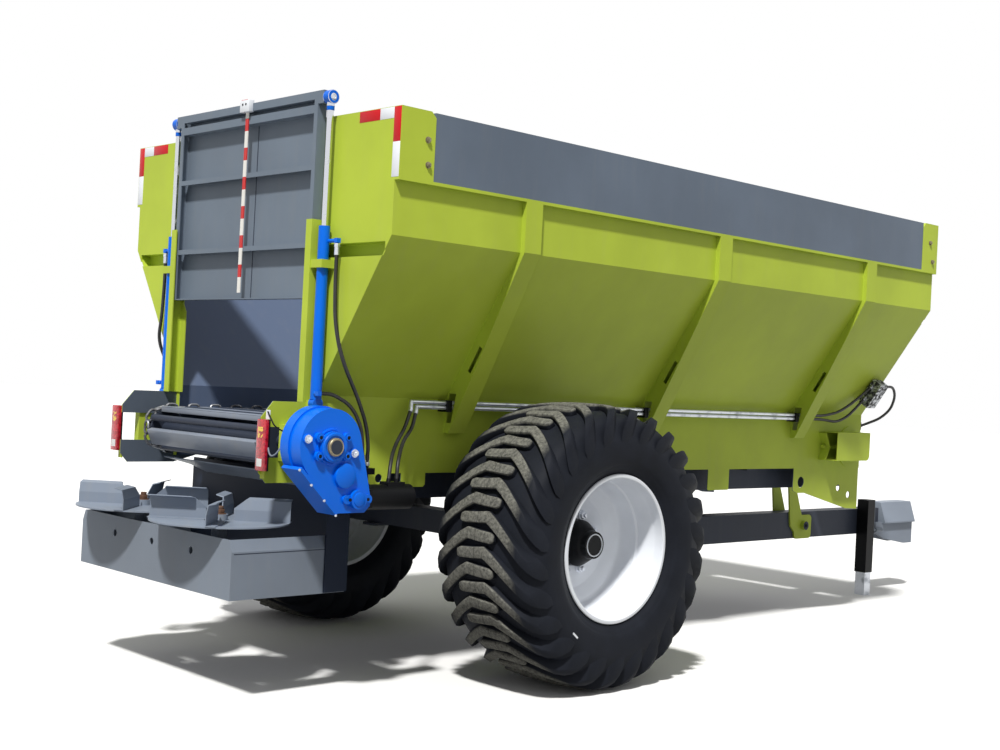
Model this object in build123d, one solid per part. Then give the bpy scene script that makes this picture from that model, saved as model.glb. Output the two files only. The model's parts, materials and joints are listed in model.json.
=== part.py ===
"""Towed hopper spreader with a chain floor, a lifting rear gate and twin spinner discs.

Millimetres, +X to the right, +Y forwards (the way it is towed), +Z up. The origin is on the
ground, under the middle of the machine's overall box. Lengths along the machine are given
from the axle and turned into row positions by from_axle().
"""
import os
from math import atan2, cos, degrees, hypot, pi, radians, sin, tan

from build123d import *

os.makedirs("parts", exist_ok=True)

# ---------------------------------------------------------------- driving dimensions
# overall reach, from the axle
FRONT_REACH = 4854.0      # axle to the tip of the hitch pin
SPINNER_BACK = 1535.0     # axle back to the spinner centres
DISC_RADIUS = 305.0       # spinner disc

# running gear
TYRE_RADIUS = 666.0       # 600/55-26.5, to the lug tips
TYRE_WIDTH = 600.0
LUG_COUNT = 26            # on each half of the tread, staggered by half a pitch
RIM_FLANGE_RADIUS = 349.0
RIM_WIDTH = 508.0
RIM_FLANGE = 12.5         # flange height above the bead seat
RIM_SHEET = 8.0
SEAT_GAP = 0.3            # tyre's seat over the rim's
DISC_PLATE = 14.0
HUB_CAP_RADIUS = 68.0
HUB_INNER_X = -150.0      # from the wheel's middle
SPINDLE_END_X = 70.0
TRACK_HALF = 1029.0       # machine centre to the middle of a wheel
DISC_OFFSET = -29.0       # wheel disc from the wheel's middle, inwards
STUD_PCD = 275.0
STUD_COUNT = 8
STUD_RADIUS = 10.0
HUB_RADIUS = 112.0
SPINDLE_RADIUS = 45.0
RUNNING_FIT = 0.05        # radial clearance of a shaft in its hole
AXLE_SIDE = 120.0         # square axle beam

# hopper
HOPPER_BACK = 1235.0      # axle back to the rear wall's outer face
HOPPER_FORE = 3177.0      # axle forward to the front wall's outer face
TOP_Z = 2537.0
RIM_Z = 2243.0            # rim flange that carries the extension boards
BREAK_Z = 2000.0          # fold between the upright and the sloping side
CORNER_Z = 1313.0         # fold between the sloping side and the chain trough
SILL_Z = 966.0            # lower edge of the trough's sides
BODY_HALF = 1045.0
FLANGE_LIP = 27.0         # rim flange past the body
FLANGE_HALF = BODY_HALF + FLANGE_LIP
TROUGH_HALF = 585.0
WALL = 6.0
LIP = 14.0                # turned-down edge of the rim flange
TOP_FOLD = 40.0           # folded top edge of the end walls
POST_LENGTH = {"rear": 190.0, "front": 178.0}
POST_CHAMFER = 26.0
BOARD_INSET = 3.0

# stakes: forward place of each one's middle, and the (x, z) of its tip
STAKES = (-431.0, 1001.0, 2427.0)
STAKE_WIDTH = 105.0
STAKE_SHEET = 5.0
STAKE_TIP = (618.0, 1156.0)

# door, gate and its guides
DOOR_HALF = 560.0
DOOR_TOP_Z = 1760.0
GROOVE_LOW_Z = 1916.0     # channel folded into the end walls
GROOVE_HIGH_Z = 1975.0
GROOVE_DEPTH = 55.0
GATE_HALF = 566.0
GATE_BOTTOM_Z = 1734.0    # raised
GATE_TOP_Z = 2643.0
GATE_DEPTH = 48.0
GATE_SHEET = 5.0
RAIL_BOTTOM_Z = 1281.0    # on top of the drive arms
RAIL_TOP_Z = 2080.0
RAIL_INNER_TOP_Z = 1725.0
RAIL_SHEET = 6.0
GATE_PLAY = 7.0           # between the gate's edges and its rails
GATE_TRAVEL = 500.0       # drop of the gate from its raised height to shut
GATE_BARS = (0.62, 0.245) # middles of the bars, as shares of the gate's height
BAR_HEIGHT = 46.0
TOP_BAR = 36.0            # each of the two top bars
TOP_BAR_PITCH = 60.0
STILE = 26.0
EYE_RADIUS = 30.0
EYE_HALF = 20.0
EYE_NECK = 18.0
STICK_X = 20.0
STICK_WIDTH = 24.0
STICK_THICK = 4.0
STICK_FOOT = 30.0         # above the gate's bottom edge
STICK_BLOCK = 26.0        # half width of the block it hangs from
CYLINDER_X = 627.0
CYLINDER_RADIUS = 25.0
CYLINDER_LOW_Z = 1295.0
CYLINDER_HIGH_Z = 2050.0
CYLINDER_BORE = 20.0
ROD_RADIUS = 15.0
ROD_END_Z = 1885.0        # lower end of the rod inside its barrel, gate raised
CLAMP_Z = 1885.0
FOOT_DROP = 18.0          # cylinder's lower eye, under the end of the barrel
FOOT_HALF = 18.0
EYE_Z = 2612.0

# chain floor
DRIVE_BACK = 1350.0       # axle back to the drive shaft
DRIVE_Z = 1105.0
IDLER_FORE = 3040.0       # axle forward to the idler shaft
CHAIN_RADIUS = 100.0
CHAIN_SIDES = 8           # sides of the path round a shaft
CHAIN_X = 480.0
LINK_WIDTH = 46.0         # of a round link, flat or upright
LINK_WIRE = 13.0
SLAT_WIDTH = 76.0
SLAT_RISE = 6.0           # slat's top above the chain's middle
SLAT_DROP = 21.0          # slat's underside below it
SLAT_PITCH = 200.0
SHAFT_RADIUS = 30.0
BEARING_HALF = 80.0       # drive bearing's half length
IDLER_BEARING_HALF = 62.0
IDLER_BEARING_RISE = 60.0 # half height
BEARING_WIDTH = 40.0
IDLER_FLANGE_RADIUS = 130.0
IDLER_FLANGE = 6.0
FLOOR_THICK = 6.0
FLOOR_GAP = 2.0           # upright links above the floor plate
FLOOR_TONGUE = 20.0       # floor plate past the rear wall

# side arms that carry the drive shaft, and the lamps on their ends
ARM_TOP_Z = 1281.0
ARM_LOW_Z = 931.0
ARM_REAR = 1527.0
ARM_SLOT = 66.0           # half height of the open slot for the bearing
ARM_SHEET = 8.0
ARM_OUTER_X = TROUGH_HALF + ARM_SHEET
ARM_LAP = 130.0           # arm's length along the trough's side
LAMP_WIDTH = 61.0
LAMP_DEPTH = 30.0
LAMP_DROP = 120.0         # lamp's lower end under the drive shaft
LAMP_HEIGHT = 220.0
LAMP_BRACKET = 6.0

# gearbox and the chain floor's motor
GEARBOX_IN_X = 730.0
GEARBOX_OUT_X = 884.0
CASE_RADIUS = 160.0
CASE_RING_RADIUS = 168.0
CASE_RING_WIDTH = 56.0
CASE_FACE_DROP = 22.0     # case's face behind the bosses' faces
INPUT_DY = 144.0          # input shaft from the output shaft
INPUT_DZ = -223.0
INPUT_RADIUS = 76.0
CASE_FLAT = 58.0          # flat bottom under the input shaft
FLANK_OFFSET = 165.0      # rear flank from the output shaft
FLANK_ANGLE = 44.4        # its slope in degrees
FLANK_FLANGE = 16.0
BOSS_RADIUS = 66.0
BOSS_EARS = (72.0, 39.0)  # ear centres from the output shaft, along Y and Z
BOSS_EAR_RADIUS = 20.0
COVER_DY = 71.0           # idler gear's cover from the output shaft
COVER_DZ = -122.0
COVER_RADIUS = 52.0
INPUT_BOSS_RADIUS = 41.0
INPUT_EAR_DY = 58.0
INPUT_EAR_RADIUS = 19.0
MOTOR_RADIUS = 56.0
MOTOR_LENGTH = 265.0
MOTOR_PORT = (124.0, 220.0)  # block with the hose ports, along the motor
MOTOR_PORT_HALF = 30.0
MOTOR_PORT_RISE = 10.0

# idler's adjuster and its cover
COVER_FACE_X = 700.0
COVER_BACK = 308.0        # from the idler shaft
COVER_FRONT = 70.0
COVER_TOP = 95.0
COVER_BOTTOM = 84.0
COVER_SHEET = 4.0
SCREW_RADIUS = 11.0
TENSIONER_WIDTH = 55.0
TENSIONER_SHEET = 8.0
# bent plate that the adjusting screw pulls on: (behind the idler shaft, above it)
TENSIONER_LINE = ((345.0, 89.0), (293.0, 0.0), (339.0, -86.0))

# chassis
RAIL_X = 430.0
CHASSIS_WIDTH = 80.0
CHASSIS_LOW_Z = 836.0
CHASSIS_WALL = 8.0
CHASSIS_BACK = 1072.0
DRAWBAR_WIDTH = 120.0
DRAWBAR_LOW_Z = 438.0
DRAWBAR_HIGH_Z = 618.0
DRAWBAR_WALL = 10.0
DRAWBAR_REAR = 620.0      # forward of the axle
DRAWBAR_FRONT = 4330.0
HANGER_FORE = 3335.0      # green drawbar hanger and its pin
PIN_Z = 525.0
PIN_RADIUS = 32.0
JACK_FORE = 4085.0
JACK_SIDE = 90.0
JACK_LOW_Z = 165.0
JACK_TOP_Z = 690.0
JACK_WALL = 6.0
JACK_PLAY = 0.1           # leg in its tube, all round
CRANK_RADIUS = 9.0
CRANK_REACH = 62.0
CRANK_DROP = 190.0
CRANK_GRIP = 112.0
JACK_TRAVEL = 150.0
HANGER_SHEET = 12.0
HANGER_WIDTH = 200.0
REAR_HANGER_FORE = 900.0
CHASSIS_TOP_GAP = 10.0    # rails under the trough's sill
BOLSTER_HEIGHT = 20.0

# hitch head
HEAD_HALF = 78.0
HEAD_FLARE = 24.0         # hood's lip past the cheeks
HEAD_TOP_HALF = 56.0
HEAD_PLATE = 22.0
HEAD_TOP_Z = 657.0
HEAD_LIP_Z = 505.0
HEAD_LIP = 10.0
HEAD_LOW_Z = 345.0
HEAD_FACE = 4790.0        # forward of the axle
HEAD_HOLE_RADIUS = 11.0
HEAD_HOLE_X = 45.0
HEAD_HOLE_Z = (380.0, 460.0)
TOW_PIN_Z = 545.0
TOW_PIN_RADIUS = 16.0

# spinner
SPINNER_X = 330.0
DISC_Z = 742.0            # underside
DISC_THICK = 6.0
DISC_SHAFT_RADIUS = 16.0
DISC_MOTOR_RADIUS = 50.0
DISC_MOTOR_NECK = 40.0
DISC_MOTOR_DROP = 97.0    # motor's lower end under its beam
DISC_SOCKET_DEPTH = 45.0
HUB_BOSS_RADIUS = 34.0
HUB_BOSS_RISE = 26.0
HUB_BOLT_RADIUS = 13.0
HUB_BOLT_RISE = 58.0
VANE_COUNT = 4
VANE_TIP = 308.0
VANE_ROOT = 60.0
VANE_HEIGHT = 92.0
VANE_CREASE = 48.0        # height where the web leans forward
VANE_LEAN = 9.0
VANE_FLANGE = 44.0
VANE_SHEET = 4.0
VANE_ROOT_HEIGHT = 52.0
VANE_SLOPE = 70.0         # length over which the vane gains its height
VANE_TURN = 46.0          # degrees, first vane from +X
BOX_HALF = 646.0
BOX_REAR = 1673.0         # axle back to the box's rear face
BOX_LOW_Z = 449.0
BOX_TOP_Z = 700.0
BOX_FOLD_Z = 650.0
BOX_SHEET = 5.0
BOX_EDGE = 22.0           # sides folded inwards above the fold
BOX_HOLES = (-330.0, 0.0, 330.0)
BOX_HOLE_Z = 622.0
BOX_HOLE_RADIUS = 16.0
CHUTE_BACK = 1080.0       # axle back to the chute's plate
UPRIGHT_DEPTH = 116.0
UPRIGHT_RISE = 92.0       # above the box's top
APRON_DROP = 137.0        # apron under the drive shaft
APRON_SHEET = 5.0
APRON_HALF = 525.0
APRON_CHAMFER = 46.0
MOTOR_BEAM_LOW_Z = 585.0
MOTOR_BEAM_HIGH_Z = 645.0
MOTOR_BEAM_HALF = 60.0

# lines: steel pipes on the right side, hoses and their fittings
PIPE_RADIUS = 10.0
PIPE_STANDOFF = 50.0
PIPES = (1300.0, 1277.0)  # heights
PIPE_BACK = (-735.0, -702.0)
PIPE_FORE = 2520.0
HOSE_RADIUS = 8.5
FITTING_RADIUS = 10.5
ELBOW = 20.0              # side of an elbow's block
TOP_PORT_Z = 1985.0       # lift cylinder's upper port
LOW_PORT_Z = 1322.0
PORT_BLOCK = (-1070.0, -985.0)  # from the axle
PORT_BLOCK_X = 704.0
PORT_BLOCK_Z = (972.0, 1000.0)
# valve against the slope: along the slope from its lower fold, out from it, and from the axle
VALVE_RUN = (115.0, 290.0)
VALVE_OUT = (14.0, 84.0)
VALVE_FORE = (3005.0, 3125.0)
BULKHEAD = (565.0, 3177.0, 1240.0)

AXLE_Y = (SPINNER_BACK + DISC_RADIUS - FRONT_REACH) / 2
AXLE_Z = TYRE_RADIUS
SIDES = {"left": -1, "right": 1}


def from_axle(forward):
    """Row Y of a place measured forwards from the axle."""
    return AXLE_Y + forward


FLOOR_TOP_Z = DRIVE_Z + CHAIN_RADIUS - LINK_WIDTH / 2 - FLOOR_GAP
CHASSIS_HIGH_Z = SILL_Z - CHASSIS_TOP_GAP
CHUTE_TOP_Z = CHASSIS_HIGH_Z - 6
REAR_Y = from_axle(-HOPPER_BACK)
FRONT_Y = from_axle(HOPPER_FORE)
DRIVE_Y = from_axle(-DRIVE_BACK)
IDLER_Y = from_axle(IDLER_FORE)
SPINNER_Y = from_axle(-SPINNER_BACK)


# ---------------------------------------------------------------- shapes
def block(x0, x1, y0, y1, z0, z1):
    """Box between two corners."""
    return Pos((x0 + x1) / 2, (y0 + y1) / 2, (z0 + z1) / 2) * Box(abs(x1 - x0), abs(y1 - y0), abs(z1 - z0))


def prism_x(points, x0, x1):
    """Outline of (y, z) points, from x0 to x1."""
    return extrude(Plane.YZ.offset(x0) * Polygon(*points, align=None), amount=x1 - x0, dir=(1, 0, 0))


def prism_y(points, y0, y1):
    """Outline of (x, z) points, from y0 to y1."""
    return extrude(Plane.XZ.offset(-y0) * Polygon(*points, align=None), amount=y1 - y0, dir=(0, 1, 0))


def prism_z(points, z0, z1):
    """Outline of (x, y) points, from z0 to z1."""
    return extrude(Plane.XY.offset(z0) * Polygon(*points, align=None), amount=z1 - z0, dir=(0, 0, 1))


def rod(start, end, radius):
    """Round bar from one point to another."""
    way = Vector(*end) - Vector(*start)
    return extrude(Plane(origin=start, z_dir=way) * Circle(radius), amount=way.length)


def ring(start, end, outer, inner):
    """Round tube from one point to another."""
    return rod(start, end, outer) - rod(start, end, inner)


def mirrored(shape):
    """The same shape on the machine's other side."""
    return mirror(shape, about=Plane.YZ)


def both_sides(shape):
    """A right-hand shape and its left-hand twin."""
    return [shape, mirrored(shape)]


def offset_line(points, distance):
    """Shift an open line of 2-D points to its left by a distance, mitred at its bends."""
    line = [Vector(*point) for point in points]
    ways = [(b - a).normalized() for a, b in zip(line, line[1:])]
    sides = [Vector(-way.Y, way.X) for way in ways]
    moved = [line[0] + sides[0] * distance]
    for corner, before, after in zip(line[1:-1], sides, sides[1:]):
        moved.append(corner + (before + after) * (distance / (1 + before.dot(after))))
    moved.append(line[-1] + sides[-1] * distance)
    return [(point.X, point.Y) for point in moved]


def folded(points, thickness):
    """Closed outline of a folded sheet that lies to the left of its line."""
    return list(points) + offset_line(points, thickness)[::-1]


# ---------------------------------------------------------------- hopper
def hopper_line():
    """Right-hand outer line of the hopper's section, from the rim lip down to the sill."""
    return [
        (FLANGE_HALF, RIM_Z - LIP),
        (FLANGE_HALF, RIM_Z),
        (BODY_HALF - WALL, RIM_Z),
    ], [
        (BODY_HALF, RIM_Z - WALL),
        (BODY_HALF, BREAK_Z),
        (TROUGH_HALF, CORNER_Z),
        (TROUGH_HALF, SILL_Z),
    ]


def hopper_outline():
    """Whole outer outline of an end wall."""
    right = [
        (FLANGE_HALF, TOP_Z),
        (FLANGE_HALF, RIM_Z - LIP),
        (BODY_HALF, RIM_Z - LIP),
        (BODY_HALF, BREAK_Z),
        (TROUGH_HALF, CORNER_Z),
        (TROUGH_HALF, SILL_Z),
    ]
    return right + [(-x, z) for x, z in right[::-1]]


# tabs and the front foot of the trough's side: (from axle, z) outlines below the sill
SILL_TABS = (
    ((-925, SILL_Z), (-925, 927), (-914, 916), (-816, 916), (-805, 927), (-805, SILL_Z)),
    ((-732, SILL_Z), (-732, 912), (-721, 901), (-596, 901), (-585, 912), (-585, SILL_Z)),
    ((1575, SILL_Z), (1575, 852), (1582, 845), (1767, 845), (1774, 852), (1774, SILL_Z)),
    ((2436, SILL_Z), (2436, 830), (2476, 812), (2560, 812), (3041, 703), (HOPPER_FORE - WALL, 697),
     (HOPPER_FORE - WALL, SILL_Z)),
)
# holes in them: (from axle, z, radius)
FOOT_HOLES = ((-866, 944, 20), (2518, 880, 34), (2942, 838, 22), (3063, 791, 22))


def hopper_side():
    """Right side of the hopper: rim flange, upright, slope and trough side in one folded sheet."""
    flange, body = hopper_line()
    y0, y1 = REAR_Y + WALL, FRONT_Y - WALL
    side = prism_y(folded(body, -WALL), y0, y1) + prism_y(folded(flange, WALL), y0, y1)
    for tab in SILL_TABS:
        side += prism_x([(from_axle(f), z) for f, z in tab], TROUGH_HALF - WALL, TROUGH_HALF)
    for forward, z, radius in FOOT_HOLES:
        place = (TROUGH_HALF - 2 * WALL, from_axle(forward), z)
        side -= rod(place, (TROUGH_HALF + WALL, place[1], z), radius)
    hole = (TROUGH_HALF - 2 * WALL, IDLER_Y, DRIVE_Z)
    return side - rod(hole, (TROUGH_HALF + WALL, IDLER_Y, DRIVE_Z), SHAFT_RADIUS + 4)


def wall_channel(y_face, inward):
    """Channel folded into an end wall, trimmed to the hopper's inside."""
    y_web = y_face + inward * GROOVE_DEPTH
    low, high = GROOVE_LOW_Z, GROOVE_HIGH_Z
    ys = sorted((y_face + inward * WALL, y_web + inward * WALL))
    channel = block(-BODY_HALF, BODY_HALF, ys[0], ys[1], low - WALL, high + WALL)
    hollow = sorted((y_face, y_web))
    channel -= block(-BODY_HALF, BODY_HALF, hollow[0], hollow[1], low, high)
    slope = (BODY_HALF - TROUGH_HALF) / (BREAK_Z - CORNER_Z)
    inset = WALL * hypot(1, slope)
    half_low = TROUGH_HALF - inset + (low - WALL - CORNER_Z) * slope
    half_high = TROUGH_HALF - inset + (high + WALL - CORNER_Z) * slope
    trim = [
        (half_low, low - WALL), (half_high, high + WALL),
        (-half_high, high + WALL), (-half_low, low - WALL),
    ]
    return channel & prism_y(trim, min(ys) - 2 * GROOVE_DEPTH, max(ys) + 2 * GROOVE_DEPTH)


def end_wall(y_face, inward):
    """End wall: sheet, folded top edge and folded channel."""
    y_in = y_face + inward * WALL
    ys = sorted((y_face, y_in))
    wall = prism_y(hopper_outline(), ys[0], ys[1])
    wall -= block(-FLANGE_HALF, FLANGE_HALF, ys[0], ys[1], GROOVE_LOW_Z, GROOVE_HIGH_Z)
    ends = [(BODY_HALF - 40, GROOVE_LOW_Z - 60), (BODY_HALF + 40, GROOVE_LOW_Z - 60),
            (BODY_HALF + 40, GROOVE_HIGH_Z + 60), (BODY_HALF - 40, GROOVE_HIGH_Z + 60)]
    outline = prism_y(hopper_outline(), ys[0], ys[1])
    for side in (1, -1):
        wall += prism_y([(side * x, z) for x, z in ends], ys[0], ys[1]) & outline
    fold = sorted((y_in, y_face + inward * TOP_FOLD))
    wall += block(-BODY_HALF, BODY_HALF, fold[0], fold[1], TOP_Z - WALL, TOP_Z)
    return wall + wall_channel(y_face, inward)


def hopper_rear_wall():
    """Rear wall with the door that the gate shuts."""
    wall = end_wall(REAR_Y, 1)
    return wall - block(-DOOR_HALF, DOOR_HALF, REAR_Y - WALL, REAR_Y + 2 * WALL, SILL_Z - WALL, DOOR_TOP_Z)


def hopper_front_wall():
    """Front wall, closed down to the chain's trough."""
    wall = end_wall(FRONT_Y, -1)
    inner = TROUGH_HALF - WALL
    gap = block(-inner, inner, FRONT_Y - 2 * WALL, FRONT_Y + WALL, SILL_Z - WALL, FLOOR_TOP_Z)
    return wall - gap


# openings through a stake's webs: corners (x, z)
STAKE_OPENINGS = (
    ((806, 1573), (826, 1560), (752, 1442), (732, 1455)),
    ((612, 1345), (662, 1345), (632, 1205), (600, 1205)),
)


def stake(forward):
    """Right-hand stake: a folded channel that props the slope, open towards the hopper."""
    y0 = from_axle(forward) - STAKE_WIDTH / 2
    y1 = y0 + STAKE_WIDTH
    outer = [(FLANGE_HALF, RIM_Z - LIP), (FLANGE_HALF, BREAK_Z), STAKE_TIP]
    panel = [
        (TROUGH_HALF, STAKE_TIP[1]), (TROUGH_HALF, CORNER_Z),
        (BODY_HALF, BREAK_Z), (BODY_HALF, RIM_Z - LIP),
    ]
    body = prism_y(outer + panel, y0, y1)
    inner = offset_line(outer, -STAKE_SHEET)
    body -= prism_y(inner + panel, y0 + STAKE_SHEET, y1 - STAKE_SHEET)
    for opening in STAKE_OPENINGS:
        body -= prism_y(opening, y0 - 1, y1 + 1)
    return body


def board_posts():
    """Corner posts that hold the extension boards' ends."""
    rear = [
        (REAR_Y + WALL, RIM_Z), (REAR_Y + WALL, TOP_Z),
        (REAR_Y + POST_LENGTH["rear"] - POST_CHAMFER, TOP_Z),
        (REAR_Y + POST_LENGTH["rear"], TOP_Z - POST_CHAMFER), (REAR_Y + POST_LENGTH["rear"], RIM_Z),
    ]
    front = [
        (FRONT_Y - WALL, RIM_Z), (FRONT_Y - WALL, TOP_Z),
        (FRONT_Y - POST_LENGTH["front"] + POST_CHAMFER, TOP_Z),
        (FRONT_Y - POST_LENGTH["front"], TOP_Z - POST_CHAMFER), (FRONT_Y - POST_LENGTH["front"], RIM_Z),
    ]
    posts = []
    for outline in (rear, front):
        posts += both_sides(prism_x(outline, BODY_HALF, FLANGE_HALF))
    return posts


def extension_boards():
    """Boards along the rim between the corner posts."""
    y0 = REAR_Y + POST_LENGTH["rear"]
    y1 = FRONT_Y - POST_LENGTH["front"]
    return both_sides(block(BODY_HALF, FLANGE_HALF - BOARD_INSET, y0, y1, RIM_Z, TOP_Z - 2))


# ---------------------------------------------------------------- chain floor
def floor_plate():
    """Plate that the upper run of the chains slides on."""
    half = TROUGH_HALF - WALL
    low = FLOOR_TOP_Z - FLOOR_THICK
    plate = block(-half, half, REAR_Y + WALL, IDLER_Y - CHAIN_RADIUS, low, FLOOR_TOP_Z)
    return plate + block(-DOOR_HALF, DOOR_HALF, REAR_Y - FLOOR_TONGUE, REAR_Y + WALL, low, FLOOR_TOP_Z)


def chain_path():
    """Corners (y, z) of the chain's middle line, closed round both shafts."""
    turn = [radians(90 + index * 360 / CHAIN_SIDES) for index in range(CHAIN_SIDES // 2 + 1)]
    rear = [(DRIVE_Y + CHAIN_RADIUS * cos(a), DRIVE_Z + CHAIN_RADIUS * sin(a)) for a in turn]
    front = [(IDLER_Y - CHAIN_RADIUS * cos(a), DRIVE_Z - CHAIN_RADIUS * sin(a)) for a in turn]
    return rear + front


def chain_places(pitch):
    """(y, z, heading in degrees) at an even pitch along the chain's middle line."""
    corners = [Vector(*corner) for corner in chain_path()]
    legs = list(zip(corners, corners[1:] + corners[:1]))
    length = sum((end - start).length for start, end in legs)
    step = length / round(length / pitch)
    places = []
    passed = 0.0
    for start, end in legs:
        way = (end - start).normalized()
        while len(places) * step < passed + (end - start).length - step / 1000:
            point = start + way * (len(places) * step - passed)
            places.append((point.X, point.Y, degrees(atan2(way.Y, way.X))))
        passed += (end - start).length
    return places


def chain_band(half_width, half_height):
    """Band of a rectangular section along the chain's middle line."""
    path = Plane.YZ * Polygon(*chain_path(), align=None)
    outer = offset(path, amount=half_height, kind=Kind.INTERSECTION)
    inner = offset(path, amount=-half_height, kind=Kind.INTERSECTION)
    return Pos(-half_width, 0, 0) * extrude(outer - inner, amount=2 * half_width, dir=(1, 0, 0))


def chain_floor():
    """Two chain strands, each as its flat and its upright links' run, and the slats between them."""
    half = LINK_WIDTH / 2
    strand = chain_band(half, LINK_WIRE / 2) + chain_band(LINK_WIRE / 2, half)
    loop = [Pos(side * CHAIN_X, 0, 0) * strand for side in (1, -1)]
    slat_half = CHAIN_X - half
    slat = Pos(0, 0, (SLAT_DROP - SLAT_RISE) / 2) * Box(2 * slat_half, SLAT_WIDTH, SLAT_RISE + SLAT_DROP)
    for y, z, heading in chain_places(SLAT_PITCH):
        loop.append(Pos(0, y, z) * Rot(heading, 0, 0) * slat)
    return Part() + loop


def chain_wheel(x, y):
    """Chain wheel: a core with a cheek on each side of the upright links."""
    fit = cos(pi / CHAIN_SIDES)
    cheek = CHAIN_RADIUS - (LINK_WIRE / 2 + RUNNING_FIT) / fit
    core = CHAIN_RADIUS - (LINK_WIDTH / 2 + RUNNING_FIT) / fit
    half = LINK_WIDTH / 2 - 2
    wheel = Plane.YZ * RegularPolygon(core, CHAIN_SIDES)
    body = Pos(x - half, y, DRIVE_Z) * extrude(wheel, amount=2 * half, dir=(1, 0, 0))
    gap = LINK_WIRE / 2 + 1
    for start in (-half, gap):
        plate = extrude(Plane.YZ * RegularPolygon(cheek, CHAIN_SIDES), amount=half - gap, dir=(1, 0, 0))
        body += Pos(x + start, y, DRIVE_Z) * plate
    return body


def shaft_with_wheels(y, half):
    """Shaft across the machine with a chain wheel under each strand."""
    shaft = rod((-half, y, DRIVE_Z), (half, y, DRIVE_Z), SHAFT_RADIUS)
    for side in (1, -1):
        shaft += chain_wheel(side * CHAIN_X, y)
    return shaft


def drive_shaft():
    """Drive shaft with its chain wheels, out to the gearbox on the right."""
    shaft = shaft_with_wheels(DRIVE_Y, TROUGH_HALF + 20)
    return shaft + rod((0, DRIVE_Y, DRIVE_Z), (GEARBOX_OUT_X + 16, DRIVE_Y, DRIVE_Z), SHAFT_RADIUS)


def idler_shaft():
    """Front shaft of the chain floor."""
    return shaft_with_wheels(IDLER_Y, TROUGH_HALF + 20)


def drive_arms():
    """Plates that run back from the trough, hold the drive shaft's bearings and carry the lamps."""
    rear = from_axle(-ARM_REAR)
    outline = [
        (REAR_Y, ARM_LOW_Z), (rear + 40, ARM_LOW_Z), (rear, ARM_LOW_Z + 45), (rear, ARM_TOP_Z - 70),
        (rear + 60, ARM_TOP_Z), (REAR_Y + ARM_LAP, ARM_TOP_Z), (REAR_Y + ARM_LAP, SILL_Z),
    ]
    slot_front = DRIVE_Y + ARM_SLOT
    slot = [
        (rear - 1, DRIVE_Z - ARM_SLOT), (slot_front, DRIVE_Z - ARM_SLOT),
        (slot_front, DRIVE_Z + ARM_SLOT), (rear - 1, DRIVE_Z + ARM_SLOT),
    ]
    plate = prism_x(outline, TROUGH_HALF, ARM_OUTER_X)
    plate -= prism_x(slot, TROUGH_HALF - 1, ARM_OUTER_X + 1)
    front = rear + LAMP_DEPTH / 3 + LAMP_BRACKET
    bracket = block(ARM_OUTER_X - 1, ARM_OUTER_X + LAMP_WIDTH / 2, front - LAMP_BRACKET, front,
                    ARM_LOW_Z + 20, DRIVE_Z - ARM_SLOT)
    return both_sides(plate + bracket)


def shaft_bearings():
    """Right-hand bearings: in the arm's slot at the drive shaft, and on its flange at the idler."""
    rise = ARM_SLOT + 12
    drive = block(ARM_OUTER_X, ARM_OUTER_X + BEARING_WIDTH, DRIVE_Y - BEARING_HALF, DRIVE_Y + BEARING_HALF,
                  DRIVE_Z - rise, DRIVE_Z + rise)
    outer_x = ARM_OUTER_X + BEARING_WIDTH
    drive -= rod((ARM_OUTER_X - 1, DRIVE_Y, DRIVE_Z), (outer_x + 1, DRIVE_Y, DRIVE_Z), SHAFT_RADIUS)
    face = TROUGH_HALF + IDLER_FLANGE
    idler = rod((TROUGH_HALF, IDLER_Y, DRIVE_Z), (face, IDLER_Y, DRIVE_Z), IDLER_FLANGE_RADIUS)
    idler += block(face, face + BEARING_WIDTH, IDLER_Y - IDLER_BEARING_HALF, IDLER_Y + IDLER_BEARING_HALF,
                   DRIVE_Z - IDLER_BEARING_RISE, DRIVE_Z + IDLER_BEARING_RISE)
    outer_x = face + BEARING_WIDTH
    idler -= rod((TROUGH_HALF - 1, IDLER_Y, DRIVE_Z), (outer_x + 1, IDLER_Y, DRIVE_Z), SHAFT_RADIUS)
    return [drive, idler]


# ---------------------------------------------------------------- drive
def case_outline():
    """Gearbox case from the side: round at both shafts, flat at the bottom and along its rear flank."""
    input_y, input_z = DRIVE_Y + INPUT_DY, DRIVE_Z + INPUT_DZ
    low_z = input_z - CASE_FLAT
    lean = radians(FLANK_ANGLE)
    top = (DRIVE_Y - FLANK_OFFSET * sin(lean), DRIVE_Z - FLANK_OFFSET * cos(lean))
    bottom_y = top[0] + (top[1] - low_z) / tan(lean)
    line = atan2(INPUT_DZ, INPUT_DY)
    side = line + pi / 2 - atan2(CASE_RADIUS - INPUT_RADIUS, hypot(INPUT_DY, INPUT_DZ))
    front_top = (DRIVE_Y + CASE_RADIUS * cos(side), DRIVE_Z + CASE_RADIUS * sin(side))
    front_low = (input_y + INPUT_RADIUS * cos(side), input_z + INPUT_RADIUS * sin(side))
    corner = INPUT_RADIUS - CASE_FLAT / 2
    outline = Plane.YZ * Polygon(
        (DRIVE_Y, DRIVE_Z), top, (bottom_y, low_z), (input_y + corner, low_z),
        (input_y + INPUT_RADIUS, input_z - CASE_FLAT / 2), front_low, front_top, align=None)
    return outline + Plane.YZ * Pos(DRIVE_Y, DRIVE_Z) * Circle(CASE_RADIUS)


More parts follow.
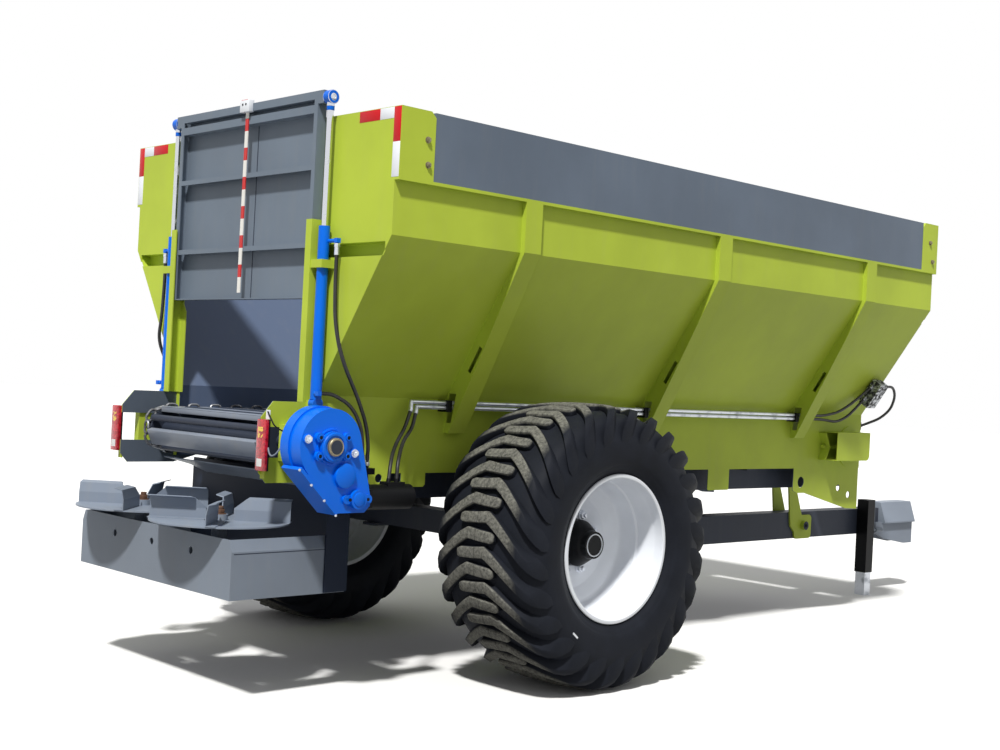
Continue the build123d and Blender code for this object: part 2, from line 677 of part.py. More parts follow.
def flank_flange():
    """Bolting flange along the case's rear flank, with its turned upper end."""
    lean = radians(FLANK_ANGLE)
    out_y, out_z = -sin(lean), -cos(lean)
    way_y, way_z = cos(lean), -sin(lean)
    corners = []
    for out, along in ((0, -48), (FLANK_FLANGE, -48), (FLANK_FLANGE, 228), (0, 228)):
        reach = FLANK_OFFSET + out
        corners.append((DRIVE_Y + reach * out_y + along * way_y, DRIVE_Z + reach * out_z + along * way_z))
    flange = prism_x(corners, GEARBOX_IN_X + 6, GEARBOX_OUT_X - CASE_FACE_DROP + 6)
    return flange


def gearbox():
    """Reduction gearbox hung on the drive shaft."""
    input_y, input_z = DRIVE_Y + INPUT_DY, DRIVE_Z + INPUT_DZ
    face = GEARBOX_OUT_X - CASE_FACE_DROP
    case = extrude(Pos(GEARBOX_IN_X, 0, 0) * case_outline(), amount=face - GEARBOX_IN_X, dir=(1, 0, 0))
    ring_x = GEARBOX_IN_X + CASE_RING_WIDTH
    case += rod((GEARBOX_IN_X, DRIVE_Y, DRIVE_Z), (ring_x, DRIVE_Y, DRIVE_Z), CASE_RING_RADIUS)
    case += flank_flange()
    case += rod((face - 1, DRIVE_Y, DRIVE_Z), (GEARBOX_OUT_X, DRIVE_Y, DRIVE_Z), BOSS_RADIUS)
    for y_side in (1, -1):
        for z_side in (1, -1):
            y, z = DRIVE_Y + y_side * BOSS_EARS[0], DRIVE_Z + z_side * BOSS_EARS[1]
            case += rod((face - 1, y, z), (GEARBOX_OUT_X - 4, y, z), BOSS_EAR_RADIUS)
    cover_y, cover_z = DRIVE_Y + COVER_DY, DRIVE_Z + COVER_DZ
    case += rod((face - 1, cover_y, cover_z), (GEARBOX_OUT_X - 8, cover_y, cover_z), COVER_RADIUS)
    case += rod((face - 1, input_y, input_z), (GEARBOX_OUT_X, input_y, input_z), INPUT_BOSS_RADIUS)
    for y_side in (1, -1):
        y = input_y + y_side * INPUT_EAR_DY
        case += rod((face - 1, y, input_z), (GEARBOX_OUT_X - 10, y, input_z), INPUT_EAR_RADIUS)
    bridge = block(face - 1, GEARBOX_OUT_X - 10, input_y - INPUT_EAR_DY, input_y + INPUT_EAR_DY,
                   input_z - INPUT_EAR_RADIUS, input_z + INPUT_EAR_RADIUS)
    case += bridge
    bore = rod((GEARBOX_IN_X - 1, DRIVE_Y, DRIVE_Z), (GEARBOX_OUT_X + 1, DRIVE_Y, DRIVE_Z), SHAFT_RADIUS)
    return case - bore


MOTOR_X = (GEARBOX_IN_X + GEARBOX_OUT_X) / 2 - 10
MOTOR_Y = DRIVE_Y + INPUT_DY + INPUT_RADIUS
MOTOR_Z = DRIVE_Z + INPUT_DZ
MOTOR_PORT_Z = MOTOR_Z + MOTOR_RADIUS + MOTOR_PORT_RISE


def floor_motor():
    """Hydraulic motor on the gearbox's front flank, with its port block on top."""
    body = rod((MOTOR_X, MOTOR_Y, MOTOR_Z), (MOTOR_X, MOTOR_Y + MOTOR_LENGTH, MOTOR_Z), MOTOR_RADIUS)
    body += block(MOTOR_X - 62, MOTOR_X + 62, MOTOR_Y, MOTOR_Y + 16, MOTOR_Z - 40, MOTOR_Z + 40)
    port_y0, port_y1 = MOTOR_Y + MOTOR_PORT[0], MOTOR_Y + MOTOR_PORT[1]
    half = MOTOR_PORT_HALF
    body += block(MOTOR_X - half, MOTOR_X + half, port_y0, port_y1, MOTOR_Z, MOTOR_PORT_Z)
    for line in motor_lines():
        body += hose_end(line, -1)
    return body


# ---------------------------------------------------------------- gate
RAIL_FACE_Y = REAR_Y - RAIL_SHEET                       # inner flange against the rear wall
GATE_Y1 = RAIL_FACE_Y - GATE_PLAY                       # gate's front face
GATE_Y0 = GATE_Y1 - GATE_DEPTH
RAIL_REAR_Y = GATE_Y0 - GATE_PLAY                       # inside of the rail's rear flange
RAIL_WEB_X = GATE_HALF + GATE_PLAY + 5
CYLINDER_Y = REAR_Y - 12 - CYLINDER_RADIUS


def gate_rails():
    """Channel guides on both sides of the door."""
    outer = RAIL_WEB_X + RAIL_SHEET
    web = block(RAIL_WEB_X, outer, RAIL_REAR_Y - RAIL_SHEET, REAR_Y, RAIL_BOTTOM_Z, RAIL_TOP_Z)
    lap = block(GATE_HALF - 24, RAIL_WEB_X, RAIL_REAR_Y - RAIL_SHEET, RAIL_REAR_Y, RAIL_BOTTOM_Z, RAIL_TOP_Z)
    inner = [
        (RAIL_WEB_X, RAIL_BOTTOM_Z), (RAIL_WEB_X, RAIL_INNER_TOP_Z),
        (DOOR_HALF, RAIL_INNER_TOP_Z), (DOOR_HALF - 30, RAIL_INNER_TOP_Z - 45),
        (DOOR_HALF - 30, RAIL_BOTTOM_Z),
    ]
    return both_sides(web + lap + prism_y(inner, RAIL_FACE_Y, REAR_Y))


def gate_panel():
    """Gate sheet with its side stiles and bottom edge."""
    sheet = block(-GATE_HALF, GATE_HALF, GATE_Y1 - GATE_SHEET, GATE_Y1, GATE_BOTTOM_Z, GATE_TOP_Z)
    for side in (1, -1):
        inner_x, outer_x = side * (GATE_HALF - GATE_SHEET), side * GATE_HALF
        sheet += block(inner_x, outer_x, GATE_Y0, GATE_Y1, GATE_BOTTOM_Z, GATE_TOP_Z)
        sheet += block(side * (GATE_HALF - STILE), side * GATE_HALF, GATE_Y0, GATE_Y0 + GATE_SHEET,
                       GATE_BOTTOM_Z, GATE_TOP_Z)
    return sheet + block(-GATE_HALF, GATE_HALF, GATE_Y0, GATE_Y1, GATE_BOTTOM_Z, GATE_BOTTOM_Z + GATE_SHEET)


def gate_bars():
    """Channel bars across the gate, open side down, and the top beam."""
    inner = GATE_HALF - STILE
    front, rear = GATE_Y1 - GATE_SHEET, GATE_Y0
    bars = []
    for share in GATE_BARS:
        top = GATE_BOTTOM_Z + share * (GATE_TOP_Z - GATE_BOTTOM_Z) + BAR_HEIGHT / 2
        bar = block(-inner, inner, rear, front, top - GATE_SHEET, top)
        bars.append(bar + block(-inner, inner, rear, rear + GATE_SHEET, top - BAR_HEIGHT / 2, top))
    for high in (GATE_TOP_Z - TOP_BAR_PITCH, GATE_TOP_Z):
        bars.append(block(-inner, inner, rear, front, high - TOP_BAR, high))
    return bars


def gate_rods():
    """Cylinder rods with their eyes and the gate's ears that hold them."""
    rod_line = rod((CYLINDER_X, CYLINDER_Y, ROD_END_Z), (CYLINDER_X, CYLINDER_Y, EYE_Z), ROD_RADIUS)
    x0, x1 = CYLINDER_X - EYE_HALF, CYLINDER_X + EYE_HALF
    eye = rod((x0, CYLINDER_Y, EYE_Z), (x1, CYLINDER_Y, EYE_Z), EYE_RADIUS)
    eye += rod((CYLINDER_X, CYLINDER_Y, EYE_Z - 40), (CYLINDER_X, CYLINDER_Y, EYE_Z), EYE_NECK)
    return both_sides(rod_line + eye)


def gate_ears():
    """Plates on the gate's top corners, each with the pin through a rod eye."""
    low_z = RAIL_TOP_Z + GATE_TRAVEL + 6
    ear = block(GATE_HALF, CYLINDER_X - EYE_HALF, GATE_Y0, GATE_Y1, low_z, GATE_TOP_Z)
    return both_sides(ear)


def cylinder_barrels():
    """Lift cylinder barrels with their elbows, open at the gland for the rod."""
    bottom = (CYLINDER_X, CYLINDER_Y, CYLINDER_LOW_Z)
    barrel = rod(bottom, (CYLINDER_X, CYLINDER_Y, CYLINDER_HIGH_Z), CYLINDER_RADIUS)
    barrel -= rod((CYLINDER_X, CYLINDER_Y, CYLINDER_LOW_Z + 40), (CYLINDER_X, CYLINDER_Y, CYLINDER_HIGH_Z - 50),
                  CYLINDER_BORE)
    barrel -= rod((CYLINDER_X, CYLINDER_Y, CYLINDER_HIGH_Z - 60), (CYLINDER_X, CYLINDER_Y, CYLINDER_HIGH_Z + 1),
                  ROD_RADIUS + RUNNING_FIT)
    foot_z = CYLINDER_LOW_Z - FOOT_DROP
    foot = rod((CYLINDER_X - FOOT_HALF, CYLINDER_Y, foot_z), (CYLINDER_X + FOOT_HALF, CYLINDER_Y, foot_z),
               CYLINDER_RADIUS + 2)
    return both_sides(barrel + foot + cylinder_elbows())


def elbow(start, line):
    """Elbow from a cylinder's wall to the block that a hose leaves square to its face."""
    port = Vector(*line[0])
    way = (Vector(*line[1]) - port).normalized()
    middle = port - way * (ELBOW / 2)
    stem_end = (middle.X, start[1], start[2])
    return Pos(*middle) * Box(ELBOW + 2, ELBOW, ELBOW) + rod(start, stem_end, FITTING_RADIUS - 2)


def cylinder_elbows():
    """Upper and lower elbow of the right-hand lift cylinder."""
    upper, lower = cylinder_lines()
    start = CYLINDER_X + CYLINDER_BORE + 2
    top = elbow((start, upper[0][1], TOP_PORT_Z), upper)
    low = elbow((start - 6, lower[0][1] - ELBOW / 2, LOW_PORT_Z), lower)
    return top + low


def cylinder_clamps():
    """Straps that tie the barrels to the rails, and the lugs under their feet."""
    edge = RAIL_WEB_X + RAIL_SHEET
    strap = block(edge, CYLINDER_X + CYLINDER_RADIUS + 12, CYLINDER_Y - CYLINDER_RADIUS - 8, REAR_Y,
                  CLAMP_Z - 18, CLAMP_Z + 18)
    low, high = (CYLINDER_X, CYLINDER_Y, CLAMP_Z - 20), (CYLINDER_X, CYLINDER_Y, CLAMP_Z + 20)
    strap -= rod(low, high, CYLINDER_RADIUS)
    foot_z = CYLINDER_LOW_Z - FOOT_DROP
    lug = block(ARM_OUTER_X, CYLINDER_X - FOOT_HALF, CYLINDER_Y - 24, REAR_Y, foot_z - 30, CYLINDER_LOW_Z - 3)
    return both_sides(strap) + both_sides(lug)


def gauge_stick():
    """Banded scale that hangs down the gate from its block."""
    y1 = GATE_Y0
    low_z, block_z = GATE_BOTTOM_Z + STICK_FOOT, GATE_TOP_Z - 40
    bar = block(STICK_X - STICK_WIDTH / 2, STICK_X + STICK_WIDTH / 2, y1 - STICK_THICK, y1, low_z, block_z)
    return bar + block(STICK_X - STICK_BLOCK, STICK_X + STICK_BLOCK, y1 - 22, y1, block_z, GATE_TOP_Z + 16)


# ---------------------------------------------------------------- running gear
# right-hand lug: from the wheel's middle, leading and trailing edge in degrees, top below the tips
LUG_STATIONS = (
    (-100.0, 0.8, 3.7, 2.0),
    (0.0, -0.6, 3.7, 0.0),
    (100.0, 0.8, 5.3, 1.0),
    (245.0, 10.5, 15.5, 14.0),
    (TYRE_WIDTH / 2, 22.0, 24.5, 121.0),
)
# casing under those stations: below the lug tips
CASING_DROPS = {0.0: 29.0, 100.0: 30.0, 245.0: 46.0, TYRE_WIDTH / 2: 121.0}
SIDEWALL_DROP = 196.0     # widest part of the sidewall, below the lug tips


def tyre_point(x, angle, radius):
    """Point of the tyre round its own axis, the angle in degrees from +Y towards +Z."""
    return Vector(x, radius * cos(radians(angle)), radius * sin(radians(angle)))


def lug_edges(x, turn):
    """Both families' lug edges at a station: (family, leading, trailing edge, top's radius)."""
    edges = []
    for place, lead, trail, drop in LUG_STATIONS:
        if place == x:
            edges.append((1, turn + lead, turn + trail, TYRE_RADIUS - drop))
        if place == -x:
            half = 180 / LUG_COUNT
            edges.append((-1, turn + half + lead, turn + half + trail, TYRE_RADIUS - drop))
    return sorted(edges, key=lambda edge: edge[1])


def triangles(points):
    """Fan of flat faces over a ring of points."""
    fan = zip(points[1:], points[2:])
    return [Face(Wire.make_polygon([points[0], second, third])) for second, third in fan]


def lug_section(x, turn):
    """Each family's lug at a station: casing and top points from its leading to its trailing edge."""
    casing = TYRE_RADIUS - CASING_DROPS[abs(x)]
    sections = {}
    for family, lead, trail, top in lug_edges(x, turn):
        corners = ((lead, casing), (lead, top), (trail, top), (trail, casing))
        sections[family] = [tyre_point(x, angle, radius) for angle, radius in corners]
    return sections


def lug_faces(x0, x1, turn):
    """Walls and tops of one lug pitch between two stations."""
    first, second = lug_section(x0, turn), lug_section(x1, turn)
    faces = []
    for family in first.keys() & second.keys():
        near, far = first[family], second[family]
        for index in range(3):
            quad = [near[index], far[index], far[index + 1], near[index + 1]]
            corners = [point for place, point in enumerate(quad) if (point - quad[place - 1]).length > 0.01]
            faces += triangles(corners)
    return faces


def groove_lines(x, turn, shared):
    """Casing points at a station from each shared lug's trailing edge to the next one's leading edge."""
    radius = TYRE_RADIUS - CASING_DROPS[abs(x)]
    edges = lug_edges(x, turn) + lug_edges(x, turn + 360 / LUG_COUNT)
    stops = [index for index, edge in enumerate(edges) if edge[0] in shared]
    lines = []
    for here, there in list(zip(stops, stops[1:]))[:len(shared)]:
        angles = [edges[here][2]]
        for edge in edges[here + 1:there]:
            angles += [edge[1], edge[2]]
        lines.append([tyre_point(x, angle, radius) for angle in angles + [edges[there][1]]])
    return lines


def groove_faces(x0, x1, turn):
    """Groove floors of one lug pitch between two stations."""
    shared = {edge[0] for edge in lug_edges(x0, turn)} & {edge[0] for edge in lug_edges(x1, turn)}
    faces = []
    for low, high in zip(groove_lines(x0, turn, shared), groove_lines(x1, turn, shared)):
        faces += triangles(high[::-1] + low if len(low) > len(high) else low[::-1] + high)
    return faces


def nose_faces(turn):
    """End faces of both families' lugs at their noses."""
    nose = LUG_STATIONS[0][0]
    return triangles(lug_section(nose, turn)[1]) + triangles(lug_section(-nose, turn)[-1])


def wall_faces(turn, seat, bead):
    """Sidewalls of one lug pitch, and the inside that sits on the rim."""
    half, pitch = TYRE_WIDTH / 2, 360 / LUG_COUNT
    wall = [(half, TYRE_RADIUS - CASING_DROPS[half]), (half, TYRE_RADIUS - SIDEWALL_DROP), (bead, seat)]
    faces = []
    ends = {}
    for side in (1, -1):
        _, lead, trail, _ = lug_edges(side * half, turn)[0]
        ends[side] = [tyre_point(side * bead, a, seat) for a in (lead, trail, lead + pitch, trail + pitch)]
        for (x0, r0), (x1, r1) in zip(wall, wall[1:]):
            for a0, a1 in ((lead, trail), (trail, lead + pitch)):
                corners = ((x0, r0, a0), (x0, r0, a1), (x1, r1, a1), (x1, r1, a0))
                faces.append(Face(Wire.make_polygon([tyre_point(side * x, a, r) for x, r, a in corners])))
    right, left = ends[1], ends[-1]
    for corners in ((right[1], right[2], left[0]), (left[0], left[1], right[2]),
                    (right[2], right[3], left[1]), (left[1], left[2], right[3])):
        faces += triangles(corners)
    return faces


def tyre(side):
    """Flotation tyre: lugs in two staggered families on a closed casing, built face by face."""
    stations = sorted({station[0] for station in LUG_STATIONS} | {-station[0] for station in LUG_STATIONS})
    _, lead, trail, _ = LUG_STATIONS[-1]
    chord = 360 / LUG_COUNT - (trail - lead)
    seat = (RIM_FLANGE_RADIUS - RIM_FLANGE + SEAT_GAP) / cos(radians(chord / 2))
    bead = RIM_WIDTH / 2 - RIM_SHEET
    faces = []
    for index in range(LUG_COUNT):
        turn = index * 360 / LUG_COUNT
        for x0, x1 in zip(stations, stations[1:]):
            faces += lug_faces(x0, x1, turn) + groove_faces(x0, x1, turn)
        faces += nose_faces(turn) + wall_faces(turn, seat, bead)
    return Pos(side * TRACK_HALF, AXLE_Y, AXLE_Z) * Solid(Shell(faces))


def stud_places():
    """(y, z) of the wheel studs round the wheel's axis."""
    angles = [2 * pi * (index + 0.5) / STUD_COUNT for index in range(STUD_COUNT)]
    return [(STUD_PCD / 2 * cos(angle), STUD_PCD / 2 * sin(angle)) for angle in angles]


def wheel_rim(side):
    """Deep-dish rim: barrel, flanges and the wheel disc with its hub hole."""
    half = RIM_WIDTH / 2
    seat = RIM_FLANGE_RADIUS - RIM_FLANGE
    line = [(half, RIM_FLANGE_RADIUS), (half, seat), (-half, seat), (-half, RIM_FLANGE_RADIUS)]
    outer_line = offset_line(line, RIM_SHEET)
    shell = revolve(Polygon(*line, *outer_line[::-1], align=None), axis=Axis.X)
    inside = seat - RIM_SHEET
    disc = Cylinder(inside, DISC_PLATE) - Cylinder(HUB_RADIUS + 1, 2 * DISC_PLATE)
    disc = Pos(DISC_OFFSET, 0, 0) * Rot(0, 90, 0) * disc
    for y, z in stud_places():
        disc -= rod((DISC_OFFSET - DISC_PLATE, y, z), (DISC_OFFSET + DISC_PLATE, y, z), STUD_RADIUS + 0.5)
    turn = Rot(0, 0, 180 if side < 0 else 0)
    return Pos(side * TRACK_HALF, AXLE_Y, AXLE_Z) * turn * (shell + disc)


def wheel_hub(side):
    """Hub with its flange behind the wheel disc, cap, and wheel studs and nuts."""
    disc_in = DISC_OFFSET - DISC_PLATE / 2
    profile = [
        (HUB_INNER_X, 0), (HUB_INNER_X, 92), (disc_in - 20, 92), (disc_in - 20, STUD_PCD / 2 + 24),
        (disc_in, STUD_PCD / 2 + 24), (disc_in, HUB_RADIUS), (disc_in + 62, HUB_RADIUS - 2),
        (disc_in + 116, HUB_RADIUS - 34), (disc_in + 128, HUB_CAP_RADIUS), (disc_in + 157, HUB_CAP_RADIUS - 4),
        (disc_in + 157, 0),
    ]
    hub = revolve(Polygon(*profile, align=None), axis=Axis.X)
    hub -= rod((HUB_INNER_X - 1, 0, 0), (SPINDLE_END_X + 1, 0, 0), SPINDLE_RADIUS + RUNNING_FIT)
    disc_out = DISC_OFFSET + DISC_PLATE / 2
    for y, z in stud_places():
        nut = Plane(origin=(disc_out, y, z), z_dir=(1, 0, 0)) * RegularPolygon(17, 6)
        hub += extrude(nut, amount=16)
        hub += rod((disc_in - 20, y, z), (disc_out + 34, y, z), STUD_RADIUS)
    turn = Rot(0, 0, 180 if side < 0 else 0)
    return Pos(side * TRACK_HALF, AXLE_Y, AXLE_Z) * turn * hub


def axle_beam():
    """Square axle with a turned spindle at each end."""
    half = TRACK_HALF + HUB_INNER_X - 12
    side = AXLE_SIDE / 2
    beam = block(-half, half, AXLE_Y - side, AXLE_Y + side, AXLE_Z - side, AXLE_Z + side)
    end = TRACK_HALF + SPINDLE_END_X
    return beam + rod((-end, AXLE_Y, AXLE_Z), (end, AXLE_Y, AXLE_Z), SPINDLE_RADIUS)


def axle_seats():
    """Spacer pads and U-bolt plates between the axle and the chassis rails."""
    side = AXLE_SIDE / 2
    half = CHASSIS_WIDTH / 2
    pad = prism_x([
        (AXLE_Y - 95, AXLE_Z + side), (AXLE_Y + 95, AXLE_Z + side),
        (AXLE_Y + 150, CHASSIS_LOW_Z), (AXLE_Y - 150, CHASSIS_LOW_Z),
    ], RAIL_X - half, RAIL_X + half)
    low_z = AXLE_Z - side
    plate = block(RAIL_X - half - 10, RAIL_X + half + 10, AXLE_Y - 95, AXLE_Y + 95, low_z - 14, low_z)
    return both_sides(pad) + both_sides(plate)


# ---------------------------------------------------------------- chassis
# cross tubes between the rails: (from axle, depth along the machine)
CROSS_TUBES = ((-1000, 90), (-150, 80), (900, 120), (2100, 80), (HANGER_FORE - 235, 90))
# bolsters on the rails under the trough: from axle
BOLSTERS = (-900, 0, 1000, 2000, 2900)


def chassis_rails():
    """Box-section rails along the machine."""
    half = CHASSIS_WIDTH / 2
    y0, y1 = from_axle(-CHASSIS_BACK), FRONT_Y - WALL
    tube = block(RAIL_X - half, RAIL_X + half, y0, y1, CHASSIS_LOW_Z, CHASSIS_HIGH_Z)
    w = CHASSIS_WALL
    tube -= block(RAIL_X - half + w, RAIL_X + half - w, y0 - 1, y1 + 1, CHASSIS_LOW_Z + w, CHASSIS_HIGH_Z - w)
    return both_sides(tube)


def cross_members():
    """Cross tubes between the rails, and the bolsters that carry the trough."""
    inner = RAIL_X - CHASSIS_WIDTH / 2
    w = CHASSIS_WALL
    parts = []
    for forward, depth in CROSS_TUBES:
        y = from_axle(forward)
        tube = block(-inner, inner, y - depth / 2, y + depth / 2, CHASSIS_LOW_Z, CHASSIS_HIGH_Z)
        y0, y1 = y - depth / 2 + w, y + depth / 2 - w
        tube -= block(-inner - 1, inner + 1, y0, y1, CHASSIS_LOW_Z + w, CHASSIS_HIGH_Z - w)
        parts.append(tube)
    half = TROUGH_HALF - WALL
    for forward in BOLSTERS:
        y = from_axle(forward)
        parts.append(block(-half, half, y - 40, y + 40, CHASSIS_HIGH_Z, CHASSIS_HIGH_Z + BOLSTER_HEIGHT))
    return parts


def drawbar():
    """Box-section drawbar under the chassis."""
    half = DRAWBAR_WIDTH / 2
    y0, y1 = from_axle(DRAWBAR_REAR), from_axle(DRAWBAR_FRONT)
    beam = block(-half, half, y0, y1, DRAWBAR_LOW_Z, DRAWBAR_HIGH_Z)
    w = DRAWBAR_WALL
    beam -= block(-half + w, half - w, y0 - 1, y1 + 1, DRAWBAR_LOW_Z + w, DRAWBAR_HIGH_Z - w)
    return beam


def hanger(forward, width, low_z, top_z):
    """Pair of plates beside the drawbar with rounded lower corners, and the pin through them."""
    x0 = DRAWBAR_WIDTH / 2
    y = from_axle(forward)
    plate = Plane.YZ * Pos(y, (low_z + top_z) / 2) * RectangleRounded(width, top_z - low_z, 30)
    right = extrude(Pos(x0, 0, 0) * plate, amount=HANGER_SHEET, dir=(1, 0, 0))
    pin = rod((x0 + HANGER_SHEET, y, PIN_Z), (x0 + HANGER_SHEET + 26, y, PIN_Z), PIN_RADIUS)
    return both_sides(right + pin)


def drawbar_hangers_front():
    """Hangers under the front cross tube, stepped forward to the pin."""
    lower = hanger(HANGER_FORE, HANGER_WIDTH, DRAWBAR_LOW_Z - 4, DRAWBAR_HIGH_Z - 22)
    y = from_axle(HANGER_FORE)
    strap_y0 = y - HANGER_WIDTH / 2 - 90
    x0 = DRAWBAR_WIDTH / 2
    strap = [
        (y - HANGER_WIDTH / 2, DRAWBAR_LOW_Z + 40), (y - 20, DRAWBAR_HIGH_Z - 22),
        (y - HANGER_WIDTH / 2 - 20, CHASSIS_LOW_Z), (strap_y0, CHASSIS_LOW_Z),
        (y - HANGER_WIDTH / 2 - 50, DRAWBAR_LOW_Z + 90),
    ]
    return [part + other for part, other in zip(lower, both_sides(prism_x(strap, x0, x0 + HANGER_SHEET)))]


def drawbar_hangers_rear():
    """Hangers from the cross tube ahead of the axle."""
    return hanger(REAR_HANGER_FORE, 160.0, DRAWBAR_LOW_Z + 10, CHASSIS_LOW_Z)


def hitch_head():
    """Fabricated head on the drawbar's end: lower box, sloping hood, bolting face and towing pin."""
    face_y, back_y = from_axle(HEAD_FACE), from_axle(DRAWBAR_FRONT)
    inner = DRAWBAR_WIDTH / 2
    sides = [
        (back_y - 60, DRAWBAR_LOW_Z), (back_y + 60, HEAD_LOW_Z + 45), (face_y - 110, HEAD_LOW_Z),
        (face_y, HEAD_LOW_Z), (face_y, HEAD_LIP_Z + HEAD_LIP), (back_y - 60, HEAD_LIP_Z + HEAD_LIP),
    ]
    cheek = prism_x(sides, inner, HEAD_HALF)
    hood = [
        (HEAD_HALF + HEAD_FLARE, HEAD_LIP_Z), (HEAD_HALF + HEAD_FLARE, HEAD_LIP_Z + HEAD_LIP),
        (HEAD_TOP_HALF, HEAD_TOP_Z), (-HEAD_TOP_HALF, HEAD_TOP_Z),
        (-HEAD_HALF - HEAD_FLARE, HEAD_LIP_Z + HEAD_LIP), (-HEAD_HALF - HEAD_FLARE, HEAD_LIP_Z),
    ]
    head = cheek + mirrored(cheek) + prism_y(hood, back_y + 30, face_y)
    plate = block(-inner, inner, face_y - HEAD_PLATE, face_y, HEAD_LOW_Z, HEAD_LIP_Z)
    for x in (-HEAD_HOLE_X, HEAD_HOLE_X):
        for z in HEAD_HOLE_Z:
            plate -= rod((x, face_y - 2 * HEAD_PLATE, z), (x, face_y + 1, z), HEAD_HOLE_RADIUS)
    pin = rod((0, face_y, TOW_PIN_Z), (0, from_axle(FRONT_REACH), TOW_PIN_Z), TOW_PIN_RADIUS)
    return head + plate + pin


def jack_tube():
    """Outer tube of the parking jack with its crank."""
    x = DRAWBAR_WIDTH / 2 + JACK_SIDE / 2
    y = from_axle(JACK_FORE)
    half, inner = JACK_SIDE / 2, JACK_SIDE / 2 - JACK_WALL
    tube = block(x - half, x + half, y - half, y + half, JACK_LOW_Z, JACK_TOP_Z)
    return tube - block(x - inner, x + inner, y - inner, y + inner, JACK_LOW_Z - 1, JACK_TOP_Z - JACK_WALL)


def jack_crank():
    """Bent crank on the jack's head."""
    x = DRAWBAR_WIDTH / 2 + JACK_SIDE / 2
    y = from_axle(JACK_FORE) + JACK_SIDE / 2
    z = JACK_TOP_Z - 35
    reach, drop = CRANK_REACH, CRANK_DROP
    line = [(x, y, z), (x, y + reach, z), (x, y + reach, z - drop), (x, y + reach + CRANK_GRIP, z - drop)]
    path = FilletPolyline(*line, radius=2 * CRANK_RADIUS)
    crank = sweep(Plane(origin=line[0], z_dir=(0, 1, 0)) * Circle(CRANK_RADIUS), path=path)
    grip_y = y + reach + 30
    grip = rod((x, grip_y, z - drop), (x, y + reach + CRANK_GRIP + 1, z - drop), CRANK_RADIUS + 6)
    return crank + grip


def jack_leg():
    """Inner leg of the jack, down to the ground."""
    x = DRAWBAR_WIDTH / 2 + JACK_SIDE / 2
    y = from_axle(JACK_FORE)
    half = JACK_SIDE / 2 - JACK_WALL - JACK_PLAY
    inner = half - 5
    top = JACK_TOP_Z - JACK_WALL - JACK_TRAVEL - 10
    leg = block(x - half, x + half, y - half, y + half, 0, top)
    return leg - block(x - inner, x + inner, y - inner, y + inner, 8, top + 1)


# ---------------------------------------------------------------- spinner
def spinner_box():
    """Folded housing under the discs: rear panel with its holes, and sides up to the chute."""
    rear_y, front_y = from_axle(-BOX_REAR), from_axle(-CHUTE_BACK)
    t = BOX_SHEET
    side_line = [(BOX_HALF - BOX_EDGE, BOX_TOP_Z), (BOX_HALF, BOX_FOLD_Z), (BOX_HALF, BOX_LOW_Z)]
    side = prism_y(folded(side_line, -t), rear_y + t, front_y)
    outline = side_line + [(-x, z) for x, z in side_line[::-1]]
    panel = prism_y(outline, rear_y, rear_y + t)
    for x in BOX_HOLES:
        panel -= rod((x, rear_y - 1, BOX_HOLE_Z), (x, rear_y + 2 * t, BOX_HOLE_Z), BOX_HOLE_RADIUS)
    return panel + side + mirrored(side)


def chute_plate():
    """Plate behind the discs that hangs from the chassis rails, with its upright edges."""
    y0 = from_axle(-CHUTE_BACK)
    y1 = from_axle(-CHASSIS_BACK)
    plate = block(-BOX_HALF, BOX_HALF, y0, y1, BOX_LOW_Z, CHUTE_TOP_Z)
    upright = block(BOX_HALF, BOX_HALF + 8, y0 - UPRIGHT_DEPTH, y1, BOX_LOW_Z + 4, BOX_TOP_Z + UPRIGHT_RISE)
    return plate + upright + mirrored(upright)


def apron():
    """Sloping lip under the drive shaft that leads the load onto the discs."""
    z = DRIVE_Z - APRON_DROP
    line = [(DRIVE_Y, z), (DRIVE_Y + 50, z - 8), (from_axle(-CHUTE_BACK) - 90, z - 40),
            (from_axle(-CHUTE_BACK), CHUTE_TOP_Z - 60)]
    lip = prism_x(folded(line, -APRON_SHEET), -APRON_HALF, APRON_HALF)
    corner = [(APRON_HALF + 1, DRIVE_Y - 1), (APRON_HALF + 1, DRIVE_Y + APRON_CHAMFER),
              (APRON_HALF - APRON_CHAMFER, DRIVE_Y - 1)]
    cut = prism_z(corner, z - 60, z + 60)
    return lip - cut - mirrored(cut)


def motor_beam():
    """Channel across the spinner box that carries the two disc motors."""
    inner = BOX_HALF - BOX_SHEET
    t = BOX_SHEET
    y0, y1 = SPINNER_Y - MOTOR_BEAM_HALF, SPINNER_Y + MOTOR_BEAM_HALF
    beam = block(-inner, inner, y0, y1, MOTOR_BEAM_LOW_Z, MOTOR_BEAM_HIGH_Z)
    beam -= block(-inner - 1, inner + 1, y0 + t, y1 - t, MOTOR_BEAM_LOW_Z - 1, MOTOR_BEAM_HIGH_Z - t)
    for side in (1, -1):
        x = side * SPINNER_X
        low, high = (x, SPINNER_Y, MOTOR_BEAM_HIGH_Z - 2 * t), (x, SPINNER_Y, MOTOR_BEAM_HIGH_Z + 1)
        beam -= rod(low, high, DISC_MOTOR_NECK + 1)
    return beam


